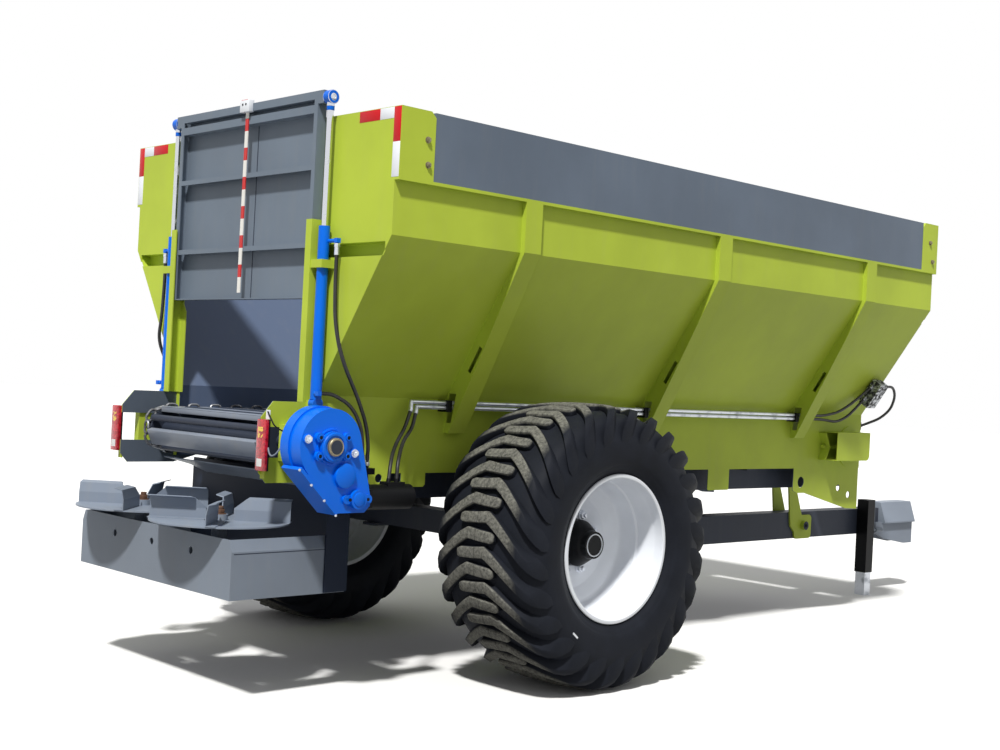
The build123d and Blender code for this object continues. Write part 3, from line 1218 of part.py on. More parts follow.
def disc_motors():
    """Hydraulic motors under the spinner discs, with a socket for each disc's shaft."""
    motors = []
    low_z, neck_z = MOTOR_BEAM_LOW_Z - DISC_MOTOR_DROP, MOTOR_BEAM_HIGH_Z + 16
    for side in (-1, 1):
        x = side * SPINNER_X
        body = rod((x, SPINNER_Y, low_z), (x, SPINNER_Y, MOTOR_BEAM_HIGH_Z - BOX_SHEET), DISC_MOTOR_RADIUS)
        body += rod((x, SPINNER_Y, low_z + 12), (x, SPINNER_Y, neck_z), DISC_MOTOR_NECK)
        socket_z = MOTOR_BEAM_HIGH_Z - DISC_SOCKET_DEPTH
        body -= rod((x, SPINNER_Y, socket_z), (x, SPINNER_Y, neck_z + 1), DISC_SHAFT_RADIUS + RUNNING_FIT)
        motors.append(body)
    return motors


def spinner(side):
    """Spinner disc with its shaft, hub, centre bolt and folded vanes."""
    x = side * SPINNER_X
    disc = rod((x, SPINNER_Y, DISC_Z), (x, SPINNER_Y, DISC_Z + DISC_THICK), DISC_RADIUS)
    top = DISC_Z + DISC_THICK
    disc += rod((x, SPINNER_Y, MOTOR_BEAM_HIGH_Z + 24), (x, SPINNER_Y, top + HUB_BOSS_RISE), HUB_BOSS_RADIUS)
    disc += rod((x, SPINNER_Y, top), (x, SPINNER_Y, top + HUB_BOLT_RISE), HUB_BOLT_RADIUS)
    shaft_z = MOTOR_BEAM_HIGH_Z - DISC_SOCKET_DEPTH + 10
    disc += rod((x, SPINNER_Y, shaft_z), (x, SPINNER_Y, DISC_Z), DISC_SHAFT_RADIUS)
    for vane in vanes(side):
        disc += vane
    return disc


def vanes(side):
    """Folded channel vanes bolted on a spinner disc: foot, creased web and leaning top edge."""
    z = DISC_Z + DISC_THICK
    line = [(VANE_FLANGE, z), (0, z), (0, z + VANE_CREASE), (VANE_LEAN, z + VANE_HEIGHT),
            (VANE_FLANGE, z + VANE_HEIGHT + VANE_LEAN)]
    profile = Plane.YZ * Polygon(*folded([(side * y, h) for y, h in line], side * -VANE_SHEET), align=None)
    vane = extrude(Pos(VANE_ROOT, 0, 0) * profile, amount=VANE_TIP - VANE_ROOT, dir=(1, 0, 0))
    crest = z + VANE_HEIGHT + 2 * VANE_LEAN
    trim = [(VANE_ROOT - 1, z + VANE_ROOT_HEIGHT), (VANE_ROOT - 1, crest), (VANE_ROOT + VANE_SLOPE, crest)]
    vane -= prism_y(trim, -2 * VANE_FLANGE, 2 * VANE_FLANGE)
    result = []
    for index in range(VANE_COUNT):
        turn = side * (VANE_TURN + index * 360 / VANE_COUNT)
        result.append(Pos(side * SPINNER_X, SPINNER_Y, 0) * Rot(0, 0, turn) * vane)
    return result


# ---------------------------------------------------------------- lamps and lines
def tail_lamps():
    """Lamp bodies on their brackets beside the drive arms' ends."""
    front = from_axle(-ARM_REAR) + LAMP_DEPTH / 3
    low_z = DRIVE_Z - LAMP_DROP
    lamp = block(ARM_OUTER_X, ARM_OUTER_X + LAMP_WIDTH, front - LAMP_DEPTH, front, low_z, low_z + LAMP_HEIGHT)
    return both_sides(fillet(lamp.edges().filter_by(Axis.Y), LAMP_WIDTH / 5))


def hose(line):
    """Hose along straight runs joined by tangent arcs as large as the runs allow."""
    points = [Vector(*point) for point in line]
    bends = []
    for before, corner, after in zip(points, points[1:], points[2:]):
        turn = (corner - before).get_angle(after - corner)
        run = min((corner - before).length, (after - corner).length)
        bends.append(0.45 * run / tan(radians(turn / 2)))
    path = FilletPolyline(*points, radius=bends)
    start = Plane(origin=points[0], z_dir=points[1] - points[0])
    print("hose", f"{path.length:.0f} mm, bends (mm):", " ".join(f"{bend:.0f}" for bend in bends))
    return sweep(start * Circle(HOSE_RADIUS), path=path)


def hose_end(line, end, reach=24.0):
    """Fitting that carries a hose's first (0) or last (-1) point, out along the hose's own line."""
    point = Vector(*line[end])
    inner = Vector(*line[1 if end == 0 else -2])
    return rod(point, point + (point - inner).normalized() * reach, FITTING_RADIUS)


def route(start, first, last, end):
    """Hose line: its start, points from the start, points from the end, and its end."""
    line = [start]
    for anchor, offsets in ((start, first), (end, last)):
        for dx, dy, dz in offsets:
            line.append((anchor[0] + dx, anchor[1] + dy, anchor[2] + dz))
    return line + [end]


def cylinder_lines():
    """Right-hand lift cylinder's upper and lower hose, down to the port block."""
    top = (CYLINDER_X + 84, CYLINDER_Y + 10, TOP_PORT_Z - ELBOW / 2)
    low = (CYLINDER_X + 41, CYLINDER_Y - 8, LOW_PORT_Z)
    end_z = PORT_BLOCK_Z[1] + 10
    top_end = (PORT_BLOCK_X - 40, from_axle(PORT_BLOCK[1] - 17), end_z)
    low_end = (PORT_BLOCK_X - 20, from_axle(PORT_BLOCK[1] - 60), end_z)
    upper = route(
        top, ((0, 0, -165), (11, 0, -325), (39, 4, -435), (39, 47, -535)),
        ((61, -116, 300), (30, -38, 185), (14, -6, 85)), top_end)
    lower = route(low, ((0, 65, 0), (16, 160, -47)), ((14, -25, 175), (10, -7, 80)), low_end)
    return upper, lower


def pipe_x():
    """Middle of the steel pipes."""
    return TROUGH_HALF + PIPE_STANDOFF


def motor_lines():
    """Hoses from the pipes' rear ends to the floor motor's ports."""
    x = pipe_x() + 13
    port_y = MOTOR_Y + MOTOR_PORT[1] - 28
    end_z = MOTOR_PORT_Z + 12
    upper = route(
        (x, from_axle(PIPE_BACK[0] - 15), PIPES[0] - 45), ((7, -33, -75), (42, -105, -137)),
        ((-56, 59, 105), (-14, 17, 58)), (MOTOR_X - 2, port_y - 40, end_z))
    lower = route(
        (x, from_axle(PIPE_BACK[1] - 16), PIPES[1] - 32), ((17, -30, -65), (52, -107, -120)),
        ((-50, 54, 115), (-10, 11, 65)), (MOTOR_X + 3, port_y, end_z))
    return upper, lower


def pipes():
    """Steel pipes along the right side, through the stakes, with their rear elbows."""
    x = pipe_x()
    runs = []
    for z, back, line in zip(PIPES, PIPE_BACK, motor_lines()):
        corner = (x, from_axle(back), z)
        pipe = rod(corner, (x, from_axle(PIPE_FORE), z), PIPE_RADIUS)
        pipe += Pos(*corner) * Sphere(PIPE_RADIUS)
        start = Vector(*line[0])
        inner = start + (start - Vector(*line[1])).normalized() * 8
        runs.append(pipe + rod(corner, tuple(inner), PIPE_RADIUS) + hose_end(line, 0, 14))
    return runs


def pipe_clamps():
    """Clamps that hold the pipes to the trough's side behind each stake, and the port blocks."""
    clamps = []
    x = pipe_x()
    for forward in STAKES:
        y = from_axle(forward) - STAKE_WIDTH / 2 - 30
        body = block(TROUGH_HALF, x + 20, y - 14, y + 14, PIPES[1] - 20, CORNER_Z - 1)
        for z in PIPES:
            body -= rod((x, y - 20, z), (x, y + 20, z), PIPE_RADIUS)
        clamps.append(body)
    port = block(TROUGH_HALF, PORT_BLOCK_X, from_axle(PORT_BLOCK[0]), from_axle(PORT_BLOCK[1]), *PORT_BLOCK_Z)
    for line in cylinder_lines():
        port += hose_end(line, -1)
    return clamps + both_sides(port)


def on_slope(run, out):
    """(x, z) along the hopper's slope from its lower fold, and out from it."""
    fold, top = Vector(TROUGH_HALF, CORNER_Z), Vector(BODY_HALF, BREAK_Z)
    way = (top - fold).normalized()
    point = fold + way * run + Vector(way.Y, -way.X) * out
    return point.X, point.Y


def valve_lines():
    """Hoses from the pipes' front ends to the valve, and from the valve to the bulkhead boss."""
    x, y = pipe_x(), from_axle(PIPE_FORE)
    face = from_axle(VALVE_FORE[0])
    high_x, high_z = on_slope(236, 35)
    low_x, low_z = on_slope(146, 40)
    upper = route(
        (x, y, PIPES[0]), ((0, 130, 0), (20, 280, 27)),
        ((-65, -95, -100), (-20, -40, -35)), (high_x, face, high_z))
    lower = route(
        (x, y, PIPES[1]), ((0, 120, 0), (12, 268, -14)),
        ((-42, -110, -112), (-20, -45, -50)), (low_x, face, low_z))
    out_x, out_z = on_slope(265, 55)
    boss_x, boss_z = BULKHEAD[0], BULKHEAD[2]
    front = route(
        (out_x, from_axle(VALVE_FORE[1]), out_z), ((2, 100, 5), (-20, 168, -57)),
        ((143, 123, 120), (90, 85, 55)), (boss_x, from_axle(BULKHEAD[1]) + 30, boss_z))
    return upper, lower, front


def valve_block():
    """Control valve against the front of the slope, and the boss on the front wall for its hose."""
    corners = [on_slope(run, out) for run, out in (
        (VALVE_RUN[0], VALVE_OUT[0]), (VALVE_RUN[0], VALVE_OUT[1]),
        (VALVE_RUN[1], VALVE_OUT[1]), (VALVE_RUN[1], VALVE_OUT[0]))]
    body = prism_y(corners, from_axle(VALVE_FORE[0]) + 12, from_axle(VALVE_FORE[1]) - 12)
    feet = [on_slope(run, out) for run, out in (
        (VALVE_RUN[0] + 30, 0), (VALVE_RUN[0] + 30, VALVE_OUT[0] + 1),
        (VALVE_RUN[1] - 30, VALVE_OUT[0] + 1), (VALVE_RUN[1] - 30, 0))]
    body += prism_y(feet, from_axle(VALVE_FORE[0]) + 30, from_axle(VALVE_FORE[1]) - 30)
    upper, lower, front = valve_lines()
    body += hose_end(upper, -1) + hose_end(lower, -1) + hose_end(front, 0)
    wall_y = from_axle(BULKHEAD[1])
    boss = block(BULKHEAD[0] - 24, BULKHEAD[0] + 16, wall_y, wall_y + 14, BULKHEAD[2] - 24, BULKHEAD[2] + 24)
    return [body, boss + hose_end(front, -1) - block(0, BODY_HALF, wall_y - 60, wall_y, 0, TOP_Z)]


def hoses():
    """All hydraulic hoses: both lift cylinders, the floor motor and the valve."""
    upper, lower = cylinder_lines()
    lines = [hose(line) for line in motor_lines() + valve_lines()]
    return both_sides(hose(upper)) + both_sides(hose(lower)) + lines


def idler_cover():
    """Folded cover over the idler's adjuster, with the bent plate and the screw behind it."""
    y0, y1 = IDLER_Y - COVER_BACK, IDLER_Y + COVER_FRONT
    z0, z1 = DRIVE_Z - COVER_BOTTOM, DRIVE_Z + COVER_TOP
    inner_x = TROUGH_HALF + IDLER_FLANGE
    t = COVER_SHEET
    cover = block(inner_x, COVER_FACE_X, y0, y1, z0, z1)
    cover = fillet(cover.edges().filter_by(Axis.X).group_by(Axis.Y)[-1].sort_by(Axis.Z)[0], COVER_FRONT / 2)
    inside = block(inner_x - 1, COVER_FACE_X - t, y0 - 1, y1 - t, z0 + t, z1 - t)
    corner = inside.edges().filter_by(Axis.X).group_by(Axis.Y)[-1].sort_by(Axis.Z)[0]
    cover -= fillet(corner, COVER_FRONT / 2 - t)
    plate = [(IDLER_Y - back, DRIVE_Z + rise) for back, rise in TENSIONER_LINE]
    bent = prism_x(folded(plate, -TENSIONER_SHEET), TROUGH_HALF, TROUGH_HALF + TENSIONER_WIDTH)
    x = inner_x + BEARING_WIDTH / 2
    screw_y = IDLER_Y - TENSIONER_LINE[0][0]
    bent += rod((x, screw_y, DRIVE_Z), (x, IDLER_Y - IDLER_BEARING_HALF, DRIVE_Z), SCREW_RADIUS)
    return both_sides(cover) + both_sides(bent)


NODES = {
    "hopper_side_right": lambda: [hopper_side()],
    "hopper_side_left": lambda: [mirrored(hopper_side())],
    "hopper_rear_wall": lambda: [hopper_rear_wall()],
    "hopper_front_wall": lambda: [hopper_front_wall()],
    "stakes": lambda: [piece for forward in STAKES for piece in both_sides(stake(forward))],
    "board_posts": board_posts,
    "extension_boards": extension_boards,
    "floor_plate": lambda: [floor_plate()],
    "chain_floor": lambda: [chain_floor()],
    "chain_shafts": lambda: [drive_shaft(), idler_shaft()],
    "drive_arms": drive_arms,
    "shaft_bearings": lambda: [piece for part in shaft_bearings() for piece in both_sides(part)],
    "gearbox": lambda: [gearbox()],
    "hydraulic_motors": lambda: [floor_motor()] + disc_motors(),
    "gate_rails": gate_rails,
    "cylinder_barrels": cylinder_barrels,
    "cylinder_clamps": cylinder_clamps,
    "gate_panel": lambda: [gate_panel()],
    "gate_bars": lambda: gate_bars() + gate_ears(),
    "gate_rods": gate_rods,
    "gauge_stick": lambda: [gauge_stick()],
    "axle_beam": lambda: [axle_beam()],
    "chassis_rails": chassis_rails,
    "cross_members": lambda: cross_members() + axle_seats(),
    "drawbar": lambda: [drawbar()],
    "drawbar_hangers": lambda: drawbar_hangers_front() + drawbar_hangers_rear(),
    "hitch_head": lambda: [hitch_head()],
    "jack_tube": lambda: [jack_tube()],
    "jack_crank": lambda: [jack_crank()],
    "jack_leg": lambda: [jack_leg()],
    "spinner_box": lambda: [spinner_box()],
    "chute_plate": lambda: [chute_plate()],
    "apron": lambda: [apron()],
    "motor_beam": lambda: [motor_beam()],
    "tail_lamps": tail_lamps,
    "pipes": pipes,
    "pipe_clamps": pipe_clamps,
    "valve_block": valve_block,
    "idler_cover": idler_cover,
    "hoses": hoses,
}
for name, side in SIDES.items():
    NODES[f"tyre_{name}"] = lambda side=side: [tyre(side)]
    NODES[f"wheel_rim_{name}"] = lambda side=side: [wheel_rim(side)]
    NODES[f"wheel_hub_{name}"] = lambda side=side: [wheel_hub(side)]
    NODES[f"spinner_disc_{name}"] = lambda side=side: [spinner(side)]

for name, build in NODES.items():
    parts = build()
    shape = parts[0] if len(parts) == 1 else Compound(children=parts)
    export_step(shape, f"parts/{name}.step")
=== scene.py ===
"""Looks of a towed hopper spreader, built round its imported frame.

Every piece is in metres in the frame's own axes: +X to the machine's right, +Y forwards
in the towing direction and +Z up, with the ground at z = 0.
"""

from __future__ import annotations

import json
import logging
import math
from dataclasses import dataclass, field
from enum import Enum
from typing import Iterable, Sequence, Union

import bmesh
import bpy
from mathutils import Matrix, Vector

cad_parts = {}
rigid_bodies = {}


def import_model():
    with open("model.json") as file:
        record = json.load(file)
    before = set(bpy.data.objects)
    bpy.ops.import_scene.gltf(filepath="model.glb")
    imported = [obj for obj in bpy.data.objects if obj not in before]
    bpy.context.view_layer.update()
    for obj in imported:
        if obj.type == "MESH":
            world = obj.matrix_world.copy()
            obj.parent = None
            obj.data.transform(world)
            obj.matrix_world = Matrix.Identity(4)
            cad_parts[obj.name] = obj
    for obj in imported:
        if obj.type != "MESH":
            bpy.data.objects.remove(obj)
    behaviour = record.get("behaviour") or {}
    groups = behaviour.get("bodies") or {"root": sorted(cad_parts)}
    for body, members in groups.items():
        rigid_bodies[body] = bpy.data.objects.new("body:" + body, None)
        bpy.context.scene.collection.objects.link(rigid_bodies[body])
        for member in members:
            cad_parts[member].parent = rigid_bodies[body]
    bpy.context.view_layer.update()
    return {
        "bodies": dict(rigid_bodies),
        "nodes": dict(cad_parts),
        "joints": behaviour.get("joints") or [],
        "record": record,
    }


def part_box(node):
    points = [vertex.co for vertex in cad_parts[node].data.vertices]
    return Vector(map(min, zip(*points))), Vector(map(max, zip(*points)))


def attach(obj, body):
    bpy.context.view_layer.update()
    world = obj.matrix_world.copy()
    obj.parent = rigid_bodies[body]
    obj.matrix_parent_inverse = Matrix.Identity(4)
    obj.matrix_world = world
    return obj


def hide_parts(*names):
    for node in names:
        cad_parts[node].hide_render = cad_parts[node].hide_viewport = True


LOG = logging.getLogger("spreader")
Triple = tuple[float, float, float]
Colour = tuple[int, int, int]
Linear = tuple[float, float, float, float]
Outline = tuple[tuple[float, float], ...]
Places = tuple[tuple[float, float], ...]
Step = tuple[float, float, float, int, float]
Number = Union[float, "Value"]

CHASSIS = "chassis"
ALONG_X = (1.0, 0.0, 0.0)
ALONG_Y = (0.0, 1.0, 0.0)
ALONG_Z = (0.0, 0.0, 1.0)

# a bolt of size 1 as steps along its axis: washer, head and end of the thread
BOLT: tuple[Step, ...] = (
    (0.0, 0.18, 1.1, 16, 0.0), (0.18, 0.83, 0.92, 6, 0.07), (0.78, 1.13, 0.48, 12, 0.0),
)


def linear(red: int, green: int, blue: int) -> Linear:
    """Turn a screen colour into the linear colour that shaders use.

    Args:
        red: Red from 0 to 255.
        green: Green from 0 to 255.
        blue: Blue from 0 to 255.

    Returns:
        The linear colour with an alpha of 1.
    """
    channels = []
    for value in (red / 255, green / 255, blue / 255):
        channels.append(value / 12.92 if value <= 0.04045 else ((value + 0.055) / 1.055) ** 2.4)
    return channels[0], channels[1], channels[2], 1.0


def tinted(colour: Colour, factor: float) -> Linear:
    """Give a screen colour's linear colour, darker or lighter.

    Args:
        colour: The screen colour.
        factor: Factor on its light.

    Returns:
        The linear colour with an alpha of 1.
    """
    red, green, blue, _ = linear(*colour)
    return min(1.0, red * factor), min(1.0, green * factor), min(1.0, blue * factor), 1.0


# ------------------------------------------------------------------ shader maths
class Value:
    """A node socket that takes part in plain arithmetic."""

    def __init__(self, nodes: Nodes, socket: bpy.types.NodeSocket) -> None:
        """Wrap a socket.

        Args:
            nodes: The tree that the arithmetic adds its nodes to.
            socket: The output socket that carries the value.
        """
        self.nodes = nodes
        self.socket = socket

    def _math(self, operation: str, first: Number, second: Number) -> Value:
        """Add a Math node.

        Args:
            operation: The node's operation.
            first: Its first input.
            second: Its second input.

        Returns:
            The node's result.
        """
        return self.nodes.node("ShaderNodeMath", {"operation": operation}, {0: first, 1: second})

    def __add__(self, other: Number) -> Value:
        """Add."""
        return self._math("ADD", self, other)

    __radd__ = __add__

    def __sub__(self, other: Number) -> Value:
        """Subtract."""
        return self._math("SUBTRACT", self, other)

    def __rsub__(self, other: Number) -> Value:
        """Subtract from a number."""
        return self._math("SUBTRACT", other, self)

    def __mul__(self, other: Number) -> Value:
        """Multiply."""
        return self._math("MULTIPLY", self, other)

    __rmul__ = __mul__

    def __truediv__(self, other: Number) -> Value:
        """Divide."""
        return self._math("DIVIDE", self, other)

    def __rtruediv__(self, other: Number) -> Value:
        """Divide a number by this value."""
        return self._math("DIVIDE", other, self)

    def __pow__(self, other: Number) -> Value:
        """Raise to a power."""
        return self._math("POWER", self, other)

    def __gt__(self, other: Number) -> Value:
        """Give 1 where the value is greater."""
        return self._math("GREATER_THAN", self, other)

    def __lt__(self, other: Number) -> Value:
        """Give 1 where the value is less."""
        return self._math("LESS_THAN", self, other)

    def __mod__(self, other: Number) -> Value:
        """Give the floored remainder."""
        return self._math("FLOORED_MODULO", self, other)

    def __abs__(self) -> Value:
        """Give the size without its sign."""
        return self.nodes.node("ShaderNodeMath", {"operation": "ABSOLUTE"}, {0: self})

    def larger(self, other: Number) -> Value:
        """Give the larger of two values."""
        return self._math("MAXIMUM", self, other)

    def ramp(self, low: float, high: float) -> Value:
        """Rise smoothly from 0 to 1.

        Args:
            low: Where the rise starts.
            high: Where it ends.

        Returns:
            The smooth mask.
        """
        settings = {"interpolation_type": "SMOOTHSTEP"}
        inputs = {0: self, 1: low, 2: high, 3: 0.0, 4: 1.0}
        return self.nodes.node("ShaderNodeMapRange", settings, inputs)


class Nodes:
    """A node tree and what is added to it."""

    def __init__(self, tree: bpy.types.NodeTree) -> None:
        """Empty a tree.

        Args:
            tree: The tree of a material or a world.
        """
        self.tree = tree
        self.tree.nodes.clear()

    def set(self, target: bpy.types.NodeSocket, value: object) -> None:
        """Link or write one input socket.

        Args:
            target: The input socket.
            value: A wrapped socket to link, or a plain value to write.
        """
        if isinstance(value, Value):
            self.tree.links.new(value.socket, target)
        else:
            target.default_value = value

    def add(self, kind: str, settings: dict[str, object],
            inputs: dict[object, object]) -> bpy.types.Node:
        """Add a node.

        Args:
            kind: The node's type.
            settings: Its own settings, written before its sockets.
            inputs: Values or links by the input's name or number.

        Returns:
            The node.
        """
        node = self.tree.nodes.new(kind)
        for key, value in settings.items():
            setattr(node, key, value)
        for key, value in inputs.items():
            self.set(node.inputs[key], value)
        return node

    def node(self, kind: str, settings: dict[str, object], inputs: dict[object, object],
             output: object = 0) -> Value:
        """Add a node and give one of its outputs.

        Args:
            kind: The node's type.
            settings: Its own settings, written before its sockets.
            inputs: Values or links by the input's name or number.
            output: Name or number of the output that is wanted.

        Returns:
            That output.
        """
        return Value(self, self.add(kind, settings, inputs).outputs[output])

    def axis(self, point: Value, name: str) -> Value:
        """Give one coordinate of a point.

        Args:
            point: The point.
            name: X, Y or Z.

        Returns:
            That coordinate.
        """
        return self.node("ShaderNodeSeparateXYZ", {}, {0: point}, name)

    def shown(self) -> Value:
        """Give 1 for rays that see the backdrop: straight, mirrored or through glass."""
        path = self.add("ShaderNodeLightPath", {}, {})
        straight, mirrored, through = (
            Value(self, path.outputs[name])
            for name in ("Is Camera Ray", "Is Glossy Ray", "Is Transmission Ray")
        )
        return straight.larger(mirrored).larger(through)


class Shader(Nodes):
    """One material and its nodes."""

    def __init__(self, name: str) -> None:
        """Start a material.

        Args:
            name: The material's name.
        """
        self.material = bpy.data.materials.new(name)
        self.material.use_nodes = True
        super().__init__(self.material.node_tree)
        self.surface = self.add("ShaderNodeBsdfPrincipled", {}, {})
        self.add("ShaderNodeOutputMaterial", {}, {"Surface": Value(self, self.surface.outputs[0])})

    def place(self) -> Value:
        """Give the surface point in the frame's axes."""
        return self.node("ShaderNodeTexCoord", {}, {}, "Object")

    def noise(self, point: Value, scale: float, detail: float = 2.0,
              rough: float = 0.5) -> Value:
        """Give soft noise from 0 to 1.

        Args:
            point: Where the pattern is read.
            scale: Its scale, per metre.
            detail: How many finer layers it has.
            rough: How strong those layers are.

        Returns:
            The noise.
        """
        inputs = {"Vector": point, "Scale": scale, "Detail": detail, "Roughness": rough}
        return self.node("ShaderNodeTexNoise", {}, inputs, "Fac")

    def stretched(self, point: Value, scale: Triple) -> Value:
        """Scale a point unevenly, so that a pattern is drawn out.

        Args:
            point: The point.
            scale: Factors along X, Y and Z.

        Returns:
            The scaled point.
        """
        return self.node("ShaderNodeMapping", {}, {"Vector": point, "Scale": scale})

    def mix(self, first: object, second: object, factor: Number) -> Value:
        """Blend two colours.

        Args:
            first: Colour at a factor of 0.
            second: Colour at a factor of 1.
            factor: The blend.

        Returns:
            The blended colour.
        """
        inputs = {0: factor, 6: first, 7: second}
        return self.node("ShaderNodeMix", {"data_type": "RGBA"}, inputs, 2)

    def bump(self, height: Value, strength: float, distance: float) -> Value:
        """Turn a height into a normal.

        Args:
            height: The height pattern, from 0 to 1.
            strength: How strongly it shows.
            distance: Its full height in metres.

        Returns:
            The bumped normal.
        """
        inputs = {"Strength": strength, "Distance": distance, "Height": height}
        return self.node("ShaderNodeBump", {}, inputs)

    def dress(self, **sockets: object) -> bpy.types.Material:
        """Set the surface's sockets.

        Args:
            **sockets: Values or links by the socket's name with underscores.

        Returns:
            The finished material.
        """
        for key, value in sockets.items():
            self.set(self.surface.inputs[key.replace("_", " ")], value)
        return self.material


# ------------------------------------------------------------------ finishes
@dataclass(frozen=True)
class Enamel:
    """Sprayed machine enamel over welded sheet.

    Attributes:
        name: Name of the finish.
        colour: Screen colour of the paint.
        rough: Roughness of the clean paint.
        coat: Weight of the gloss coat.
        dust: How much dry dust lies low on the surface.
        shine: Strength of the plain reflection.
        tones: Factors on the paint's light, where its clouds are dark and where they are pale.
        clouds: Scale of those clouds, per metre.
        streak: Factors that draw the dust's streaks out along X, Y and Z.
        clears: Heights between which the low dust thins out.
        dusty: Screen colour of the dust.
        peel: Scale of the orange peel, per metre.
        wave: Scale of the sheet's waves, per metre.
    """

    name: str
    colour: Colour
    rough: float = 0.38
    coat: float = 0.04
    dust: float = 0.25
    shine: float = 0.18
    tones: tuple[float, float] = (0.88, 1.07)
    clouds: float = 1.7
    streak: Triple = (9.0, 9.0, 1.1)
    clears: tuple[float, float] = (0.2, 1.6)
    dusty: Colour = (168, 160, 140)
    peel: float = 420.0
    wave: float = 5.0

    def tone(self, shader: Shader, point: Value, cloud: Value) -> Value:
        """Give the paint's clouded colour.

        Args:
            shader: The shader in the making.
            point: Surface point in the frame's axes.
            cloud: Soft noise from 0 to 1.

        Returns:
            The colour.
        """
        deep, pale = (tinted(self.colour, factor) for factor in self.tones)
        return shader.mix(deep, pale, cloud.ramp(0.25, 0.75))

    def material(self) -> bpy.types.Material:
        """Build the paint with its cloudy tone, orange peel and thin dust."""
        shader = Shader(self.name)
        point = shader.place()
        cloud = shader.noise(point, self.clouds, 4.0, 0.55)
        tone = self.tone(shader, point, cloud)
        streak = shader.noise(shader.stretched(point, self.streak), 2.0, 3.0)
        low = 1 - shader.axis(point, "Z").ramp(*self.clears)
        dirt = (streak.ramp(0.5, 0.75) * 0.5 + low * 0.5) * self.dust
        tone = shader.mix(tone, linear(*self.dusty), dirt * 0.35)
        peel = shader.noise(point, self.peel, 1.0)
        wave = shader.noise(point, self.wave, 1.0)
        rough = (cloud - 0.5) * 0.10 + dirt * 0.35 + self.rough
        normal = shader.bump(peel * 0.35 + wave * 0.65, 0.10, 0.0012)
        return shader.dress(Base_Color=tone, Roughness=rough, Normal=normal, Coat_Weight=self.coat,
                            Coat_Roughness=0.12, Specular_IOR_Level=self.shine)


@dataclass(frozen=True)
class Lined(Enamel):
    """Enamel of the hopper's sheets, with another colour on the inside.

    Attributes:
        inside: Screen colour of the inside.
        corner: Height and half width where the floor's trough meets the slopes.
        brink: Height and half width where the slopes meet the upright walls.
        ends: Outer faces of the end walls along the machine.
        groove: Middle and half height of the channel folded into the end walls.
        depth: Depth of that channel to the middle of its sheet.
        sheet: Middle of the sheet under its outer face, on the sides and on the ends.
    """

    inside: Colour = (92, 106, 132)
    corner: tuple[float, float] = (1.313, 0.585)
    brink: tuple[float, float] = (2.000, 1.045)
    ends: tuple[float, float] = (-2.742, 1.670)
    groove: tuple[float, float] = (1.9455, 0.0325)
    depth: float = 0.058
    sheet: tuple[float, float] = (0.0025, 0.003)

    def tone(self, shader: Shader, point: Value, cloud: Value) -> Value:
        """Give the outer colour outside and the inner one within the hopper.

        Args:
            shader: The shader in the making.
            point: Surface point in the frame's axes.
            cloud: Soft noise from 0 to 1.

        Returns:
            The colour.
        """
        x, y, z = (shader.axis(point, name) for name in "XYZ")
        (low, narrow), (high, wide), (rear, front) = self.corner, self.brink, self.ends
        side, end = self.sheet
        inputs = {0: z, 1: low, 2: high, 3: narrow, 4: wide}
        half = shader.node("ShaderNodeMapRange", {}, inputs)
        within = ((half - side - abs(x)) > 0.0) * (y > rear + end) * (y < front - end)
        band = abs(z - self.groove[0]) < self.groove[1]
        core = (y > rear + self.depth) * (y < front - self.depth)
        within = within * (1 - band * (1 - core))
        return shader.mix(Enamel.tone(self, shader, point, cloud), linear(*self.inside), within)


@dataclass(frozen=True)
class BareSteel:
    """Rolled or ground steel that load and chain rub bright.

    Attributes:
        name: Name of the finish.
        colour: Screen colour of the rubbed metal.
        rust: Screen colour of the dull skin.
        cover: How much of the dull skin is left.
        rough: Roughness of the rubbed metal.
        metal: How metallic it reads.
        grain: Scale of the patches, per metre.
    """

    name: str
    colour: Colour
    rust: Colour
    cover: float = 0.5
    rough: float = 0.35
    metal: float = 0.9
    grain: float = 14.0

    def material(self) -> bpy.types.Material:
        """Build the steel with its dull patches and drawn scratches."""
        shader = Shader(self.name)
        point = shader.place()
        low, high = 0.62 - 0.35 * self.cover, 0.78 - 0.25 * self.cover
        patch = shader.noise(point, self.grain, 5.0, 0.6).ramp(low, high)
        scratch = shader.noise(shader.stretched(point, (4.0, 60.0, 60.0)), 6.0, 2.0)
        tone = shader.mix(linear(*self.colour), linear(*self.rust), patch)
        rough = patch * 0.3 + scratch * 0.12 + self.rough
        metal = (1 - patch * 0.7) * self.metal
        normal = shader.bump(scratch * 0.6 + patch * 0.4, 0.25, 0.0006)
        return shader.dress(Base_Color=tone, Roughness=rough, Metallic=metal, Normal=normal)


